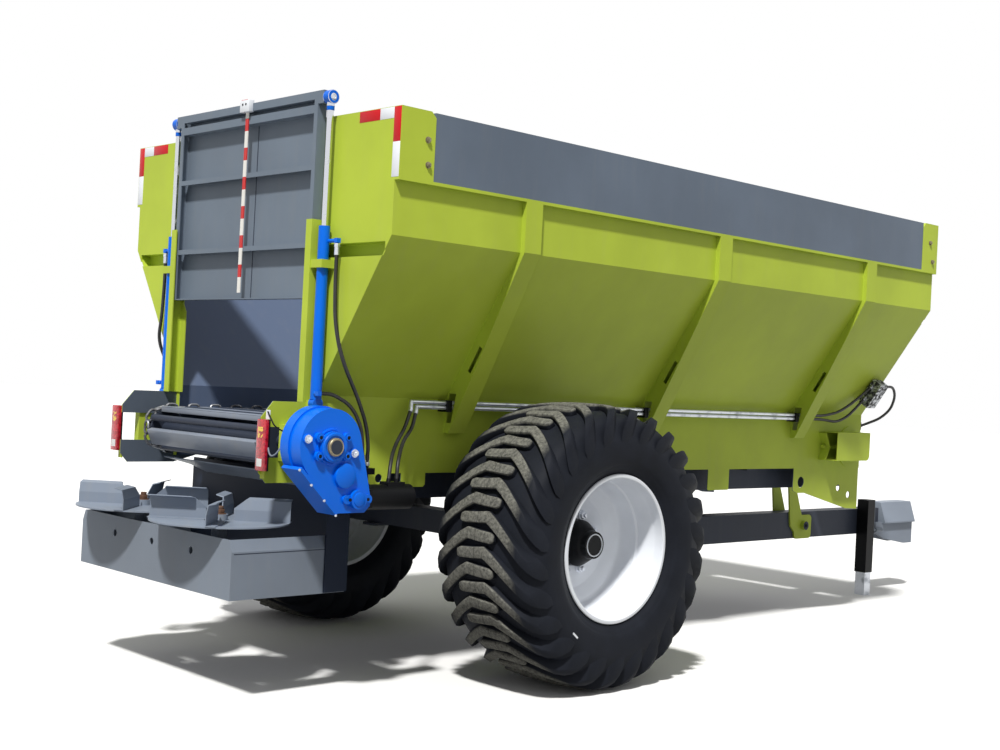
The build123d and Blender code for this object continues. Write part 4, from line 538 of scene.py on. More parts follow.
@dataclass(frozen=True)
class TyreRubber:
    """Tread rubber: nearly black on the wall, dusty brown where the lugs meet the ground.

    Attributes:
        name: Name of the finish.
        axle_y: Axle's place along the machine.
        axle_z: Axle's height.
        tread: Radius of the worn lug faces.
        track: Tyre's middle from the machine's middle.
        wear: How far under the lug faces the wear starts and is full.
        shoulder: How far from the tyre's middle the wear fades out.
        seam: Half width of the mould's seam.
        walls: Screen colours of the walls.
        faces: Screen colours of the worn faces.
        seamed: Screen colour of the mould's seam.
    """

    name: str
    axle_y: float
    axle_z: float
    tread: float
    track: float
    wear: tuple[float, float] = (0.016, 0.006)
    shoulder: tuple[float, float] = (0.235, 0.275)
    seam: float = 0.0015
    walls: tuple[Colour, Colour] = ((22, 24, 29), (37, 40, 48))
    faces: tuple[Colour, Colour] = ((58, 58, 56), (140, 139, 131))
    seamed: Colour = (52, 52, 50)

    def material(self) -> bpy.types.Material:
        """Build the rubber, worn by its distance from the axle."""
        shader = Shader(self.name)
        point = shader.place()
        along = shader.axis(point, "Y") - self.axle_y
        above = shader.axis(point, "Z") - self.axle_z
        radius = (along * along + above * above) ** 0.5
        across = abs(abs(shader.axis(point, "X")) - self.track)
        grain = shader.noise(point, 70.0, 5.0, 0.7)
        patch = shader.noise(point, 9.0, 3.0)
        low, high = (self.tread - under for under in self.wear)
        worn = radius.ramp(low, high) * (1 - across.ramp(*self.shoulder))
        mould = (across < self.seam) * worn
        wall = shader.mix(*(linear(*colour) for colour in self.walls), patch)
        face = shader.mix(*(linear(*colour) for colour in self.faces), grain.ramp(0.2, 0.8))
        tone = shader.mix(wall, face, worn * 0.92)
        tone = shader.mix(tone, linear(*self.seamed), mould * 0.8)
        worn = worn * grain.ramp(0.2, 0.6)
        rough = worn * 0.25 + patch * 0.1 + 0.52
        normal = shader.bump(grain, 0.35, 0.0015)
        return shader.dress(Base_Color=tone, Roughness=rough, Normal=normal,
                            Specular_IOR_Level=0.07)


@dataclass(frozen=True)
class Moulded:
    """Rubber hose or plastic with a fine moulded grain.

    Attributes:
        name: Name of the finish.
        colour: Screen colour.
        rough: Roughness.
    """

    name: str
    colour: Colour
    rough: float = 0.5

    def material(self) -> bpy.types.Material:
        """Build the moulded surface."""
        shader = Shader(self.name)
        point = shader.place()
        grain = shader.noise(point, 300.0)
        base = linear(*self.colour)
        light = tuple(min(1.0, channel * 1.35 + 0.01) for channel in base[:3]) + (1.0,)
        tone = shader.mix(base, light, shader.noise(point, 12.0, 3.0).ramp(0.4, 0.8))
        return shader.dress(Base_Color=tone, Roughness=grain * 0.15 + self.rough,
                            Normal=shader.bump(grain, 0.2, 0.0004))


class Finish(Enum):
    """Finishes of the slots and of single nodes and pieces."""

    LIME = Enamel("lime_enamel", (184, 203, 68), rough=0.46)
    HOPPER = Lined("hopper_enamel", (184, 203, 68), rough=0.46)
    ARM = Lined("arm_enamel", (184, 203, 68), rough=0.46, inside=(88, 98, 112),
                corner=(1.5, 0.5925), brink=(1.6, 0.5925), ends=(-3.20, 1.0), groove=(0.0, 0.001))
    SLATE = Enamel("slate_enamel", (104, 116, 132), rough=0.45)
    GATE = Enamel("gate_enamel", (114, 126, 140), rough=0.45)
    GREY = Enamel("grey_enamel", (122, 132, 146), rough=0.45)
    SLAT = Enamel("slat_enamel", (132, 141, 156), rough=0.40, coat=0.15, dust=0.6)
    HOOD = Enamel("hood_enamel", (138, 148, 164), rough=0.45)
    ZINC = Enamel("zinc_paint", (128, 140, 158), rough=0.42, coat=0.1, dust=0.6)
    DARK = Enamel("dark_enamel", (48, 55, 70), rough=0.45, coat=0.0, dust=0.1, shine=0.15)
    # Painted shade: the chute plate's near-black navy is its look in the shade under the hopper.
    CHUTE = Enamel("chute_enamel", (32, 40, 56), rough=0.5, coat=0.0, dust=0.0, shine=0.12)
    BLUE = Enamel("blue_enamel", (0, 108, 230), rough=0.36, coat=0.06, dust=0.0, shine=0.2)
    WHITE = Enamel("white_enamel", (238, 242, 250), rough=0.3, coat=0.2, dust=0.05)
    RED = Enamel("red_tape", (206, 24, 34), rough=0.3, coat=0.1, dust=0.05)
    BLACK = Enamel("black_enamel", (13, 14, 17), rough=0.4, coat=0.0, dust=0.0, shine=0.12)
    STEEL = BareSteel("rubbed_steel", (150, 152, 156), (78, 78, 82), cover=0.6)
    CHROME = BareSteel("hard_chrome", (214, 217, 222), (196, 199, 205),
                       cover=0.2, rough=0.08, metal=1.0)
    BRIGHT = BareSteel("zinc_plate", (208, 212, 220), (178, 184, 194),
                       cover=0.4, rough=0.28, metal=0.8)
    NUT = BareSteel("nut_plate", (226, 230, 238), (196, 202, 212),
                    cover=0.4, rough=0.32, metal=0.35)
    RUST = BareSteel("rusted_steel", (122, 98, 84), (94, 66, 50), cover=0.8, rough=0.5, metal=0.5)
    BRONZE = BareSteel("bronze_collar", (150, 140, 116), (112, 104, 88), rough=0.38, metal=0.7)
    VALVE = BareSteel("valve_steel", (196, 200, 206), (24, 24, 26),
                      cover=0.75, metal=0.7, grain=48.0)
    HOSE = Moulded("hose_rubber", (17, 17, 19), 0.42)


SLOTS = {
    "lime": Finish.LIME, "slate": Finish.SLATE, "grey": Finish.GREY, "dark": Finish.DARK,
    "chute": Finish.CHUTE, "blue": Finish.BLUE, "white": Finish.WHITE, "black": Finish.BLACK,
    "steel": Finish.STEEL, "chrome": Finish.CHROME, "hose": Finish.HOSE,
}

# nodes whose finish differs from their slot's
NODES = {
    "hopper_side_right": Finish.HOPPER, "hopper_side_left": Finish.HOPPER,
    "hopper_rear_wall": Finish.HOPPER, "hopper_front_wall": Finish.HOPPER,
    "drive_arms": Finish.ARM, "gate_panel": Finish.GATE, "gate_bars": Finish.GATE,
    "floor_plate": Finish.SLATE, "apron": Finish.ZINC, "spinner_disc_right": Finish.ZINC,
    "spinner_disc_left": Finish.ZINC, "chassis_rails": Finish.DARK,
    "cross_members": Finish.DARK, "hitch_head": Finish.HOOD, "jack_tube": Finish.BLACK,
    "jack_leg": Finish.BRIGHT, "jack_crank": Finish.GREY, "chain_shafts": Finish.DARK,
    "pipes": Finish.BRIGHT, "valve_block": Finish.VALVE,
}


@dataclass(frozen=True)
class Lens:
    """Tail lamp moulding: red with an amber and a clear field.

    Attributes:
        name: Name of the finish.
        low: Height of the lamp's lower end.
        high: Height of its upper end.
        middle: Lamp's middle from the machine's middle.
        clear: The clear field: where it starts and ends up the lamp, and its half width.
        amber: The amber field in the same way.
        reds: Screen colours of the red, dark and with the painted glint of its facets.
        amber_tone: Screen colour of the amber field.
        clear_tone: Screen colour of the clear field.
    """

    name: str
    low: float
    high: float
    middle: float
    clear: Triple = (0.09, 0.24, 0.019)
    amber: Triple = (0.64, 0.85, 0.018)
    reds: tuple[Colour, Colour] = ((150, 10, 24), (214, 34, 52))
    amber_tone: Colour = (236, 196, 60)
    clear_tone: Colour = (232, 232, 230)

    def material(self) -> bpy.types.Material:
        """Build the ribbed lens in bands along its height."""
        shader = Shader(self.name)
        point = shader.place()
        share = (shader.axis(point, "Z") - self.low) / (self.high - self.low)
        aside = abs(abs(shader.axis(point, "X")) - self.middle)
        voronoi = "ShaderNodeTexVoronoi"
        # Painted glint: each facet cell is a darker or lighter red, as if it caught the light.
        cell = shader.node(voronoi, {}, {"Vector": point, "Scale": 110.0}, "Color")
        glint = shader.axis(cell, "X")
        clear, amber = (
            (share > low) * (share < high) * (aside < half)
            for low, high, half in (self.clear, self.amber)
        )
        tone = shader.mix(*(linear(*colour) for colour in self.reds), glint)
        tone = shader.mix(tone, linear(*self.amber_tone), amber * (glint > 0.45))
        tone = shader.mix(tone, linear(*self.clear_tone), clear)
        inputs = {"Vector": point, "Scale": 60.0}
        ribs = shader.node("ShaderNodeTexWave", {"bands_direction": "Z"}, inputs, "Fac")
        cells = shader.node(voronoi, {}, {"Vector": point, "Scale": 220.0}, "Distance")
        normal = shader.bump(ribs * 0.6 + cells * 0.4, 0.5, 0.0012)
        return shader.dress(Base_Color=tone, Roughness=0.12, Normal=normal, Coat_Weight=0.6,
                            Coat_Roughness=0.05)


@dataclass(frozen=True)
class Banded:
    """Paint that changes colour in bands up an axis.

    Attributes:
        name: Name of the finish.
        start: Height where the first band starts.
        pitch: Height of one pair of bands.
        first: Screen colour of the lower band.
        second: Screen colour of the upper band.
        share: The lower band's share of the pair.
        grime: Screen colour of the grime.
    """

    name: str
    start: float
    pitch: float
    first: Colour
    second: Colour
    share: float = 0.434
    grime: Colour = (150, 140, 130)

    def material(self) -> bpy.types.Material:
        """Build the banded paint."""
        shader = Shader(self.name)
        point = shader.place()
        share = ((shader.axis(point, "Z") - self.start) / self.pitch) % 1.0
        grain = shader.noise(point, 40.0, 3.0)
        tone = shader.mix(linear(*self.first), linear(*self.second), share > self.share)
        tone = shader.mix(tone, linear(*self.grime), grain.ramp(0.6, 0.9) * 0.3)
        return shader.dress(Base_Color=tone, Roughness=grain * 0.1 + 0.35)


# ------------------------------------------------------------------ studio
@dataclass
class Studio:
    """Floor, lights and camera.

    Attributes:
        eye: Camera's place.
        yaw: Camera's turn to the left of +Y, in radians.
        pitch: Its tilt upwards, in radians.
        roll: Its turn about its own axis, in radians.
        lens: Focal length in millimetres.
        sensor: Width of its sensor in millimetres.
        far: How far it sees.
        floor_half: Half the floor's side.
        floor_tones: Floor's greys: what it throws back on the machine, and what is seen.
        sun_from: Direction the key light comes from.
        sun_strength: Strength of the key light.
        sun_angle: Its width as seen from the machine, in degrees.
        sun_colour: Its colour.
        horizon: Strength of the soft light from near and under the horizon.
        zenith: Its strength from straight above.
        sky_low: Sine of the angle at which it starts to grow.
    """

    eye: Triple = (5.551, -6.4028, 1.4177)
    yaw: float = 0.806
    pitch: float = 0.004
    roll: float = 0.051
    lens: float = 50.21
    sensor: float = 36.0
    far: float = 500.0
    floor_half: float = 60.0
    floor_tones: tuple[float, float] = (0.30, 0.93)
    sun_from: Triple = (0.315, -0.46, 0.80)
    sun_strength: float = 3.9
    sun_angle: float = 4.0
    sun_colour: Triple = (1.0, 0.985, 0.95)
    horizon: float = 0.17
    zenith: float = 0.52
    sky_low: float = -0.1

    def camera(self) -> None:
        """Stand the camera where the view is taken from."""
        data = bpy.data.cameras.new("camera")
        data.sensor_width = self.sensor
        data.lens = self.lens
        data.clip_end = self.far
        camera = bpy.data.objects.new("camera", data)
        bpy.context.scene.collection.objects.link(camera)
        level = math.cos(self.pitch)
        forward = Vector((-math.sin(self.yaw) * level, math.cos(self.yaw) * level,
                          math.sin(self.pitch)))
        aside = forward.cross(Vector(ALONG_Z)).normalized()
        upright = aside.cross(forward)
        right = aside * math.cos(self.roll) + upright * math.sin(self.roll)
        up = upright * math.cos(self.roll) - aside * math.sin(self.roll)
        turn = Matrix((right, up, -forward)).transposed().to_4x4()
        camera.matrix_world = Matrix.Translation(self.eye) @ turn
        bpy.context.scene.camera = camera

    def sun(self) -> None:
        """Light the machine with one soft key light."""
        data = bpy.data.lights.new("key", "SUN")
        data.energy = self.sun_strength
        data.angle = math.radians(self.sun_angle)
        data.color = self.sun_colour
        key = bpy.data.objects.new("key", data)
        bpy.context.scene.collection.objects.link(key)
        key.rotation_mode = "QUATERNION"
        key.rotation_quaternion = Vector(self.sun_from).to_track_quat("Z", "Y")

    def sky(self) -> None:
        """Fill in with an even sky, in front of a white backdrop."""
        world = bpy.data.worlds.new("studio")
        bpy.context.scene.world = world
        world.use_nodes = True
        nodes = Nodes(world.node_tree)
        height = nodes.axis(nodes.node("ShaderNodeTexCoord", {}, {}, "Generated"), "Z")
        inputs = {0: height, 1: self.sky_low, 2: 1.0, 3: self.horizon, 4: self.zenith}
        light = nodes.node("ShaderNodeMapRange", {}, inputs)
        strength = nodes.node("ShaderNodeMapRange", {}, {0: nodes.shown(), 3: light, 4: 1.0})
        white = (1.0, 1.0, 1.0, 1.0)
        background = nodes.node("ShaderNodeBackground", {}, {0: white, 1: strength})
        nodes.add("ShaderNodeOutputWorld", {}, {0: background})

    def floor(self) -> None:
        """Lay a plain pale floor that throws back little light from below."""
        mesh = bpy.data.meshes.new("floor")
        work = bmesh.new()
        bmesh.ops.create_grid(work, x_segments=1, y_segments=1, size=self.floor_half)
        work.to_mesh(mesh)
        work.free()
        floor = bpy.data.objects.new("floor", mesh)
        bpy.context.scene.collection.objects.link(floor)
        shader = Shader("floor_paper")
        thrown, seen = ((grey, grey, grey, 1.0) for grey in self.floor_tones)
        tone = shader.mix(thrown, seen, shader.shown())
        mesh.materials.append(shader.dress(Base_Color=tone, Roughness=0.9,
                                           Specular_IOR_Level=0.1))

    def build(self) -> None:
        """Set up the whole studio."""
        self.camera()
        self.sun()
        self.sky()
        self.floor()


# ------------------------------------------------------------------ mesh work
def verts_of(geometry: Iterable[object]) -> list[bmesh.types.BMVert]:
    """Pick the vertices out of what an operator gives.

    Args:
        geometry: Vertices, edges and faces.

    Returns:
        The vertices.
    """
    return [item for item in geometry if isinstance(item, bmesh.types.BMVert)]


def edges_at(verts: Iterable[bmesh.types.BMVert]) -> list[bmesh.types.BMEdge]:
    """Give the edges at some vertices, each once and in the vertices' order.

    Args:
        verts: The vertices.

    Returns:
        The edges.
    """
    return list(dict.fromkeys(edge for vert in verts for edge in vert.link_edges))


def faces_at(verts: Iterable[bmesh.types.BMVert]) -> list[bmesh.types.BMFace]:
    """Give the faces at some vertices, each once and in the vertices' order.

    Args:
        verts: The vertices.

    Returns:
        The faces.
    """
    return list(dict.fromkeys(face for vert in verts for face in vert.link_faces))


def settle(name: str, mesh: bpy.types.Mesh, material: bpy.types.Material,
           body: str) -> bpy.types.Object:
    """Make a finished mesh a piece that rides on a body.

    Args:
        name: The piece's name.
        mesh: Its mesh.
        material: Its finish.
        body: The body that it rides on.

    Returns:
        The piece.
    """
    mesh.materials.clear()
    mesh.materials.append(material)
    piece = bpy.data.objects.new(name, mesh)
    bpy.context.scene.collection.objects.link(piece)
    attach(piece, body)
    LOG.info("%s: %d faces on %s", name, len(mesh.polygons), body)
    return piece


class Shape:
    """A mesh shaped with bmesh operators, which ends as one piece on a body.

    Attributes:
        SHARP: Least angle of an edge that a bevel rounds, in radians.
        BEVEL_FACES: Faces across a bevel.
    """

    SHARP = 0.5
    BEVEL_FACES = 2

    def __init__(self) -> None:
        """Start an empty mesh."""
        self.work = bmesh.new()

    def since(self, before: set[bmesh.types.BMVert]) -> list[bmesh.types.BMVert]:
        """Give the vertices added since a set of them was taken.

        Args:
            before: The vertices that were there already.

        Returns:
            The added ones.
        """
        return [vert for vert in self.work.verts if vert not in before]

    def bevelled(self, before: set[bmesh.types.BMVert], width: float) -> list[bmesh.types.BMVert]:
        """Round the sharp edges of what was added last.

        Args:
            before: The vertices that were there already.
            width: Width of the bevel, or 0 for none.

        Returns:
            All the added vertices.
        """
        if width > 0:
            sharp = [edge for edge in edges_at(self.since(before))
                     if edge.is_manifold and edge.calc_face_angle(0.0) > self.SHARP]
            bmesh.ops.bevel(self.work, geom=sharp, offset=width, offset_type="OFFSET",
                            segments=self.BEVEL_FACES, profile=0.5, affect="EDGES",
                            clamp_overlap=True, material=-1)
        return self.since(before)

    def block(self, low: Sequence[float], high: Sequence[float],
              bevel: float = 0.0) -> list[bmesh.types.BMVert]:
        """Add a box.

        Args:
            low: Its lowest corner.
            high: Its highest corner.
            bevel: Width of its rounded edges.

        Returns:
            Its vertices.
        """
        before = set(self.work.verts)
        low, high = Vector(low), Vector(high)
        made = bmesh.ops.create_cube(self.work, size=1.0)["verts"]
        bmesh.ops.scale(self.work, vec=high - low, verts=made)
        bmesh.ops.translate(self.work, vec=(low + high) / 2, verts=made)
        return self.bevelled(before, bevel)

    def drum(self, start: Sequence[float], end: Sequence[float], radius: float, sides: int,
             bevel: float = 0.0) -> list[bmesh.types.BMVert]:
        """Add a round bar.

        Args:
            start: Middle of its first end.
            end: Middle of its last end.
            radius: Its radius.
            sides: How many sides it has.
            bevel: Width of its rounded ends.

        Returns:
            Its vertices.
        """
        before = set(self.work.verts)
        start, end = Vector(start), Vector(end)
        turn = (end - start).to_track_quat("Z", "Y").to_matrix().to_4x4()
        bmesh.ops.create_cone(self.work, cap_ends=True, segments=sides, radius1=radius,
                              radius2=radius, depth=(end - start).length,
                              matrix=Matrix.Translation((start + end) / 2) @ turn)
        return self.bevelled(before, bevel)

    def stack(self, point: Sequence[float], way: Sequence[float], steps: Iterable[Step]) -> None:
        """Add round bars along one axis.

        Args:
            point: Where the axis starts.
            way: Its direction, of length 1.
            steps: Each bar: where it starts and ends on the axis, radius, sides and bevel.
        """
        for first, last, radius, sides, bevel in steps:
            start, end = ([place + part * reach for place, part in zip(point, way)]
                          for reach in (first, last))
            self.drum(start, end, radius, sides, bevel)

    def bolt(self, point: Sequence[float], way: Sequence[float], size: float) -> None:
        """Add a hexagon bolt head on its washer.

        Args:
            point: Where its axis meets the surface.
            way: Direction out of the surface, of length 1.
            size: Diameter of its thread.
        """
        self.stack(point, way, [(first * size, last * size, radius * size, sides, bevel * size)
                                for first, last, radius, sides, bevel in BOLT])

    def turned(self, profile: Outline, steps: int,
               point: Sequence[float] = (0.0, 0.0, 0.0)) -> list[bmesh.types.BMVert]:
        """Spin a closed profile once round an axis along X.

        Args:
            profile: Its points, each a place along X and a radius.
            steps: Steps of the full turn.
            point: Where the axis starts.

        Returns:
            Its vertices.
        """
        before = set(self.work.verts)
        ring = [self.work.verts.new((x, 0.0, radius)) for x, radius in profile]
        edges = [self.work.edges.new((ring[index - 1], ring[index])) for index in range(len(ring))]
        bmesh.ops.spin(self.work, geom=ring + edges, cent=(0, 0, 0), axis=ALONG_X,
                       angle=math.tau, steps=steps, use_merge=True)
        added = self.since(before)
        bmesh.ops.translate(self.work, vec=point, verts=added)
        return added

    def copied(self, verts: Iterable[bmesh.types.BMVert],
               matrix: Matrix) -> list[bmesh.types.BMVert]:
        """Add a copy of some of the mesh.

        Args:
            verts: The vertices of what is copied.
            matrix: Where the copy goes.

        Returns:
            The copy's vertices.
        """
        verts = list(verts)
        chosen = set(verts)
        faces = [face for face in faces_at(verts) if chosen.issuperset(face.verts)]
        geometry = verts + edges_at(verts) + faces
        fresh = verts_of(bmesh.ops.duplicate(self.work, geom=geometry)["geom"])
        bmesh.ops.transform(self.work, matrix=matrix, verts=fresh)
        return fresh

    def mirrored(self) -> None:
        """Add the whole mesh's mirror image on the machine's other side."""
        self.copied(self.work.verts, Matrix.Scale(-1, 4, ALONG_X))

    def moved(self, matrix: Matrix) -> None:
        """Move the whole mesh.

        Args:
            matrix: Where it goes.
        """
        bmesh.ops.transform(self.work, matrix=matrix, verts=self.work.verts)

    def piece(self, name: str, material: bpy.types.Material, slot: str, body: str = CHASSIS,
              replaces: str = "", sharp: float = 35.0) -> None:
        """Finish the mesh as one piece on a body.

        Args:
            name: The piece's name.
            material: Its finish.
            slot: The record's slot that its finish belongs to; not used.
            body: The body that it rides on.
            replaces: The carried-over node that it stands for, if any.
            sharp: Least angle of an edge that stays sharp, in degrees.
        """
        bmesh.ops.recalc_face_normals(self.work, faces=self.work.faces)
        mesh = bpy.data.meshes.new(name)
        self.work.to_mesh(mesh)
        self.work.free()
        mesh.polygons.foreach_set("use_smooth", [True] * len(mesh.polygons))
        mesh.set_sharp_from_angle(angle=math.radians(sharp))
        piece = settle(name, mesh, material, body)
        if replaces:
            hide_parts(replaces)


@dataclass(frozen=True)
class Wire:
    """A thin wire that is held at both ends.

    Attributes:
        name: The piece's name.
        points: Control points of its smooth line.
        radius: Its radius.
    """

    name: str
    points: tuple[Triple, ...]
    radius: float

    def build(self, material: bpy.types.Material) -> None:
        """Build the wire as a piece on the chassis.

        Args:
            material: Its finish.
        """
        curve = bpy.data.curves.new(self.name, "CURVE")
        curve.dimensions = "3D"
        curve.bevel_depth = self.radius
        curve.bevel_resolution = 2
        curve.use_fill_caps = True
        spline = curve.splines.new("NURBS")
        spline.points.add(len(self.points) - 1)
        for control, point in zip(spline.points, self.points):
            control.co = (*point, 1.0)
        spline.order_u = 3
        spline.use_endpoint_u = True
        spline.resolution_u = 6
        source = bpy.data.objects.new(self.name, curve)
        bpy.context.scene.collection.objects.link(source)
        mesh = bpy.data.meshes.new_from_object(source)
        bpy.data.objects.remove(source)
        settle(self.name, mesh, material, CHASSIS)


# ------------------------------------------------------------------ wheels
class Side(Enum):
    """Sides of the machine, seen from behind."""

    RIGHT = "right"
    LEFT = "left"


@dataclass
class Wheel:
    """One road wheel: lugged tyre, dished rim and the fittings on its hub.

    Attributes:
        side: Side of the machine that it is on.
        rubber: Finish of the tyre.
        enamel: Finish of the rim.
        zinc: Finish of the nuts.
        cap: Finish of the hub's cap ring.
        lugs: Lugs on each half of the tread.
        stations: A lug's places from its nose outwards: X, leading and trailing edge in
            degrees, and radius of its top.
        casing: Half of the casing's outline from the crown to the bead: X and radius.
        rim: The rim's outline: X and radius.
        flare: How far a lug's foot spreads on each side, in degrees.
        sink: How far the foot goes into the casing.
        lug_round: Width of a lug's rounded edges.
        casing_steps: Steps round the casing.
        rim_steps: Steps round the rim.
        studs: Number of wheel nuts.
        stud_circle: Radius of their circle.
        nut: A wheel nut's steps out of the disc: collar, nut and stud.
        stem: Both ends of the valve stem from the wheel's middle.
        stem_radius: Its radius.
        disc_face: Place of the wheel disc's outer face from the wheel's middle.
        cap_face: Place of the hub cap's face from the wheel's middle.
        cap_ring: Outline of the ring on that face: X and radius.
        mark: Lowest and highest corner of the pale mark on the right tyre's wall.
        mark_place: Its middle from the wheel's middle.
        mark_turn: Its turn on the wall, in radians.
    """

    side: Side
    rubber: bpy.types.Material
    enamel: bpy.types.Material
    zinc: bpy.types.Material
    cap: bpy.types.Material
    lugs: int = 26
    stations: tuple[tuple[float, float, float, float], ...] = (
        (-0.114, 1.2, 2.9, 0.6615), (-0.108, 0.6, 3.6, 0.6645), (-0.092, 0.0, 4.0, 0.666),
        (-0.020, -0.4, 3.7, 0.666), (0.055, -1.2, 3.2, 0.666), (0.100, 0.9, 5.4, 0.665),
        (0.150, 3.9, 8.4, 0.662), (0.200, 7.2, 11.9, 0.658), (0.245, 10.5, 15.5, 0.652),
        (0.270, 13.4, 18.2, 0.639), (0.287, 16.2, 20.8, 0.617), (0.2955, 19.2, 23.4, 0.584),
        (0.2996, 22.2, 26.0, 0.542),
    )
    casing: Outline = (
        (0.0, 0.6365), (0.100, 0.6345), (0.180, 0.6285), (0.230, 0.6160), (0.256, 0.6000),
        (0.270, 0.583), (0.2795, 0.563), (0.2860, 0.544), (0.2915, 0.526), (0.2960, 0.512),
        (0.2996, 0.498), (0.2990, 0.470), (0.2968, 0.442), (0.2925, 0.418), (0.2865, 0.398),
        (0.2850, 0.3965), (0.2790, 0.385), (0.2700, 0.3705), (0.2660, 0.3675),
        (0.2620, 0.3605), (0.2560, 0.3520), (0.2535, 0.3490), (0.2530, 0.3372),
    )
    rim: Outline = (
        (0.2620, 0.3285), (0.2650, 0.3320), (0.2655, 0.3400), (0.2640, 0.3465),
        (0.2600, 0.3488), (0.2560, 0.3480), (0.2540, 0.3440), (0.2540, 0.3368),
        (-0.2540, 0.3368), (-0.2540, 0.3480), (-0.2620, 0.3490), (-0.2640, 0.3400),
        (-0.2600, 0.3285), (-0.0600, 0.3230), (-0.0400, 0.3150), (-0.0360, 0.2900),
        (-0.0360, 0.1130), (-0.0220, 0.1130), (-0.0220, 0.2140), (-0.0190, 0.2240),
        (0.0050, 0.2560), (0.0120, 0.2760), (0.0140, 0.2860), (0.0220, 0.2940),
        (0.0500, 0.3020), (0.0900, 0.3060), (0.1100, 0.3085), (0.1170, 0.3165),
        (0.1300, 0.3195), (0.2000, 0.3215), (0.2100, 0.3265), (0.2200, 0.3280),
    )
    flare: float = 0.55
    sink: float = 0.004
    lug_round: float = 0.0045
    casing_steps: int = 130
    rim_steps: int = 120
    studs: int = 8
    stud_circle: float = 0.1375
    nut: tuple[Step, ...] = (
        (0.0, 0.007, 0.0235, 20, 0.002), (0.007, 0.023, 0.0195, 6, 0.002),
        (0.020, 0.0365, 0.0108, 14, 0.0015),
    )
    stem: tuple[Triple, Triple] = ((0.14, -0.045, 0.3215), (0.165, -0.045, 0.305))
    stem_radius: float = 0.006
    disc_face: float = -0.022
    cap_face: float = 0.121
    cap_ring: Outline = (
        (-0.004, 0.048), (0.0025, 0.049), (0.0035, 0.0515), (0.0025, 0.054), (-0.004, 0.055),
    )
    mark: tuple[Triple, Triple] = ((0.2975, -0.0045, -0.020), (0.2998, 0.0045, 0.020))
    mark_place: Triple = (0.0, -0.295, -0.369)
    mark_turn: float = 0.89

    @property
    def middle(self) -> Vector:
        """Give the middle of the tyre."""
        low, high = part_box(f"tyre_{self.side.value}")
        hub_low, hub_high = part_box(f"wheel_hub_{self.side.value}")
        return Vector(((low.x + high.x) / 2, (hub_low.y + hub_high.y) / 2,
                       (hub_low.z + hub_high.z) / 2))

    def out(self) -> Matrix:
        """Give the turn and place that put the wheel's outside outwards."""
        turn = math.pi if self.side is Side.LEFT else 0.0
        return Matrix.Translation(self.middle) @ Matrix.Rotation(turn, 4, "Z")

    def foot(self, x: float) -> float:
        """Give the casing's radius at a place across the tread.

        Args:
            x: The place.

        Returns:
            The radius.
        """
        across = abs(x)
        for (x0, r0), (x1, r1) in zip(self.casing, self.casing[1:]):
            if x0 <= across <= x1:
                return r0 + (r1 - r0) * (across - x0) / (x1 - x0)
        return max(self.casing)[1]

    def section(self, station: tuple[float, float, float, float]) -> list[Vector]:
        """Give a lug's four corners at a station.

        Args:
            station: X, leading and trailing edge in degrees, radius of the top.

        Returns:
            The foot's and the top's corners.
        """
        x, lead, trail, top = station
        foot = self.foot(x) - self.sink
        corners = ((lead - self.flare, foot), (lead, top), (trail, top),
                   (trail + self.flare, foot))
        return [Vector((x, radius * math.cos(math.radians(angle)),
                        radius * math.sin(math.radians(angle)))) for angle, radius in corners]

    def lug(self, shape: Shape) -> list[bmesh.types.BMVert]:
        """Add one lug, drawn out from its nose to the shoulder.

        Args:
            shape: The tyre's mesh.

        Returns:
            Its vertices.
        """
        work = shape.work
        before = set(work.verts)
        nose = [work.verts.new(corner) for corner in self.section(self.stations[0])]
        ring = list(work.faces.new(nose).verts)
        for station in self.stations[1:]:
            edges = [work.edges.get((ring[index - 1], ring[index])) for index in range(4)]
            fresh = verts_of(bmesh.ops.extrude_edge_only(work, edges=edges)["geom"])
            ring = [next(new for new in fresh
                         if any(edge.other_vert(new) is vert for edge in new.link_edges))
                    for vert in ring]
            for vert, corner in zip(ring, self.section(station)):
                vert.co = corner
        work.faces.new(ring)
        bmesh.ops.recalc_face_normals(work, faces=faces_at(shape.since(before)))
        return shape.bevelled(before, self.lug_round)

    def tyre(self) -> None:
        """Build the tyre: casing, and both families of lugs half a pitch apart."""
        shape = Shape()
        verts = self.lug(shape)
        pitch = math.tau / self.lugs
        flip = Matrix.Rotation(pitch / 2, 4, "X") @ Matrix.Scale(-1, 4, ALONG_X)
        pair = verts + shape.copied(verts, flip)
        for index in range(1, self.lugs):
            shape.copied(pair, Matrix.Rotation(index * pitch, 4, "X"))
        outer = tuple((-x, radius) for x, radius in self.casing[:0:-1])
        shape.turned(outer + self.casing, self.casing_steps)
        shape.moved(Matrix.Translation(self.middle))
        self.piece(shape, "lugged_tyre", self.rubber, "rubber", "tyre")

    def dished_rim(self) -> None:
        """Build the rim with its rolled flange, steps and dished disc."""
        shape = Shape()
        shape.turned(self.rim, self.rim_steps)
        shape.moved(self.out())
        self.piece(shape, "dished_rim", self.enamel, "white", "wheel_rim")

    def fittings(self) -> None:
        """Build the wheel nuts with their collars, the valve stem and the cap's ring."""
        shape = Shape()
        for index in range(self.studs):
            angle = math.tau * (index + 0.5) / self.studs
            y, z = self.stud_circle * math.cos(angle), self.stud_circle * math.sin(angle)
            shape.stack((self.disc_face, y, z), ALONG_X, self.nut)
        shape.drum(*self.stem, self.stem_radius, sides=12, bevel=0.001)
        shape.moved(self.out())
        self.piece(shape, "wheel_nuts", self.zinc, "chrome")
        ring = Shape()
        ring.turned(self.cap_ring, 48, (self.cap_face, 0.0, 0.0))
        ring.moved(self.out())
        self.piece(ring, "hub_cap_ring", self.cap, "white")

    def wall_mark(self) -> None:
        """Build the pale mark on the tyre's outer wall."""
        shape = Shape()
        shape.block(*self.mark)
        place = Matrix.Translation(self.middle + Vector(self.mark_place))
        shape.moved(place @ Matrix.Rotation(self.mark_turn, 4, "X"))
        shape.piece("wall_mark", self.enamel, "white", f"wheel_{self.side.value}")

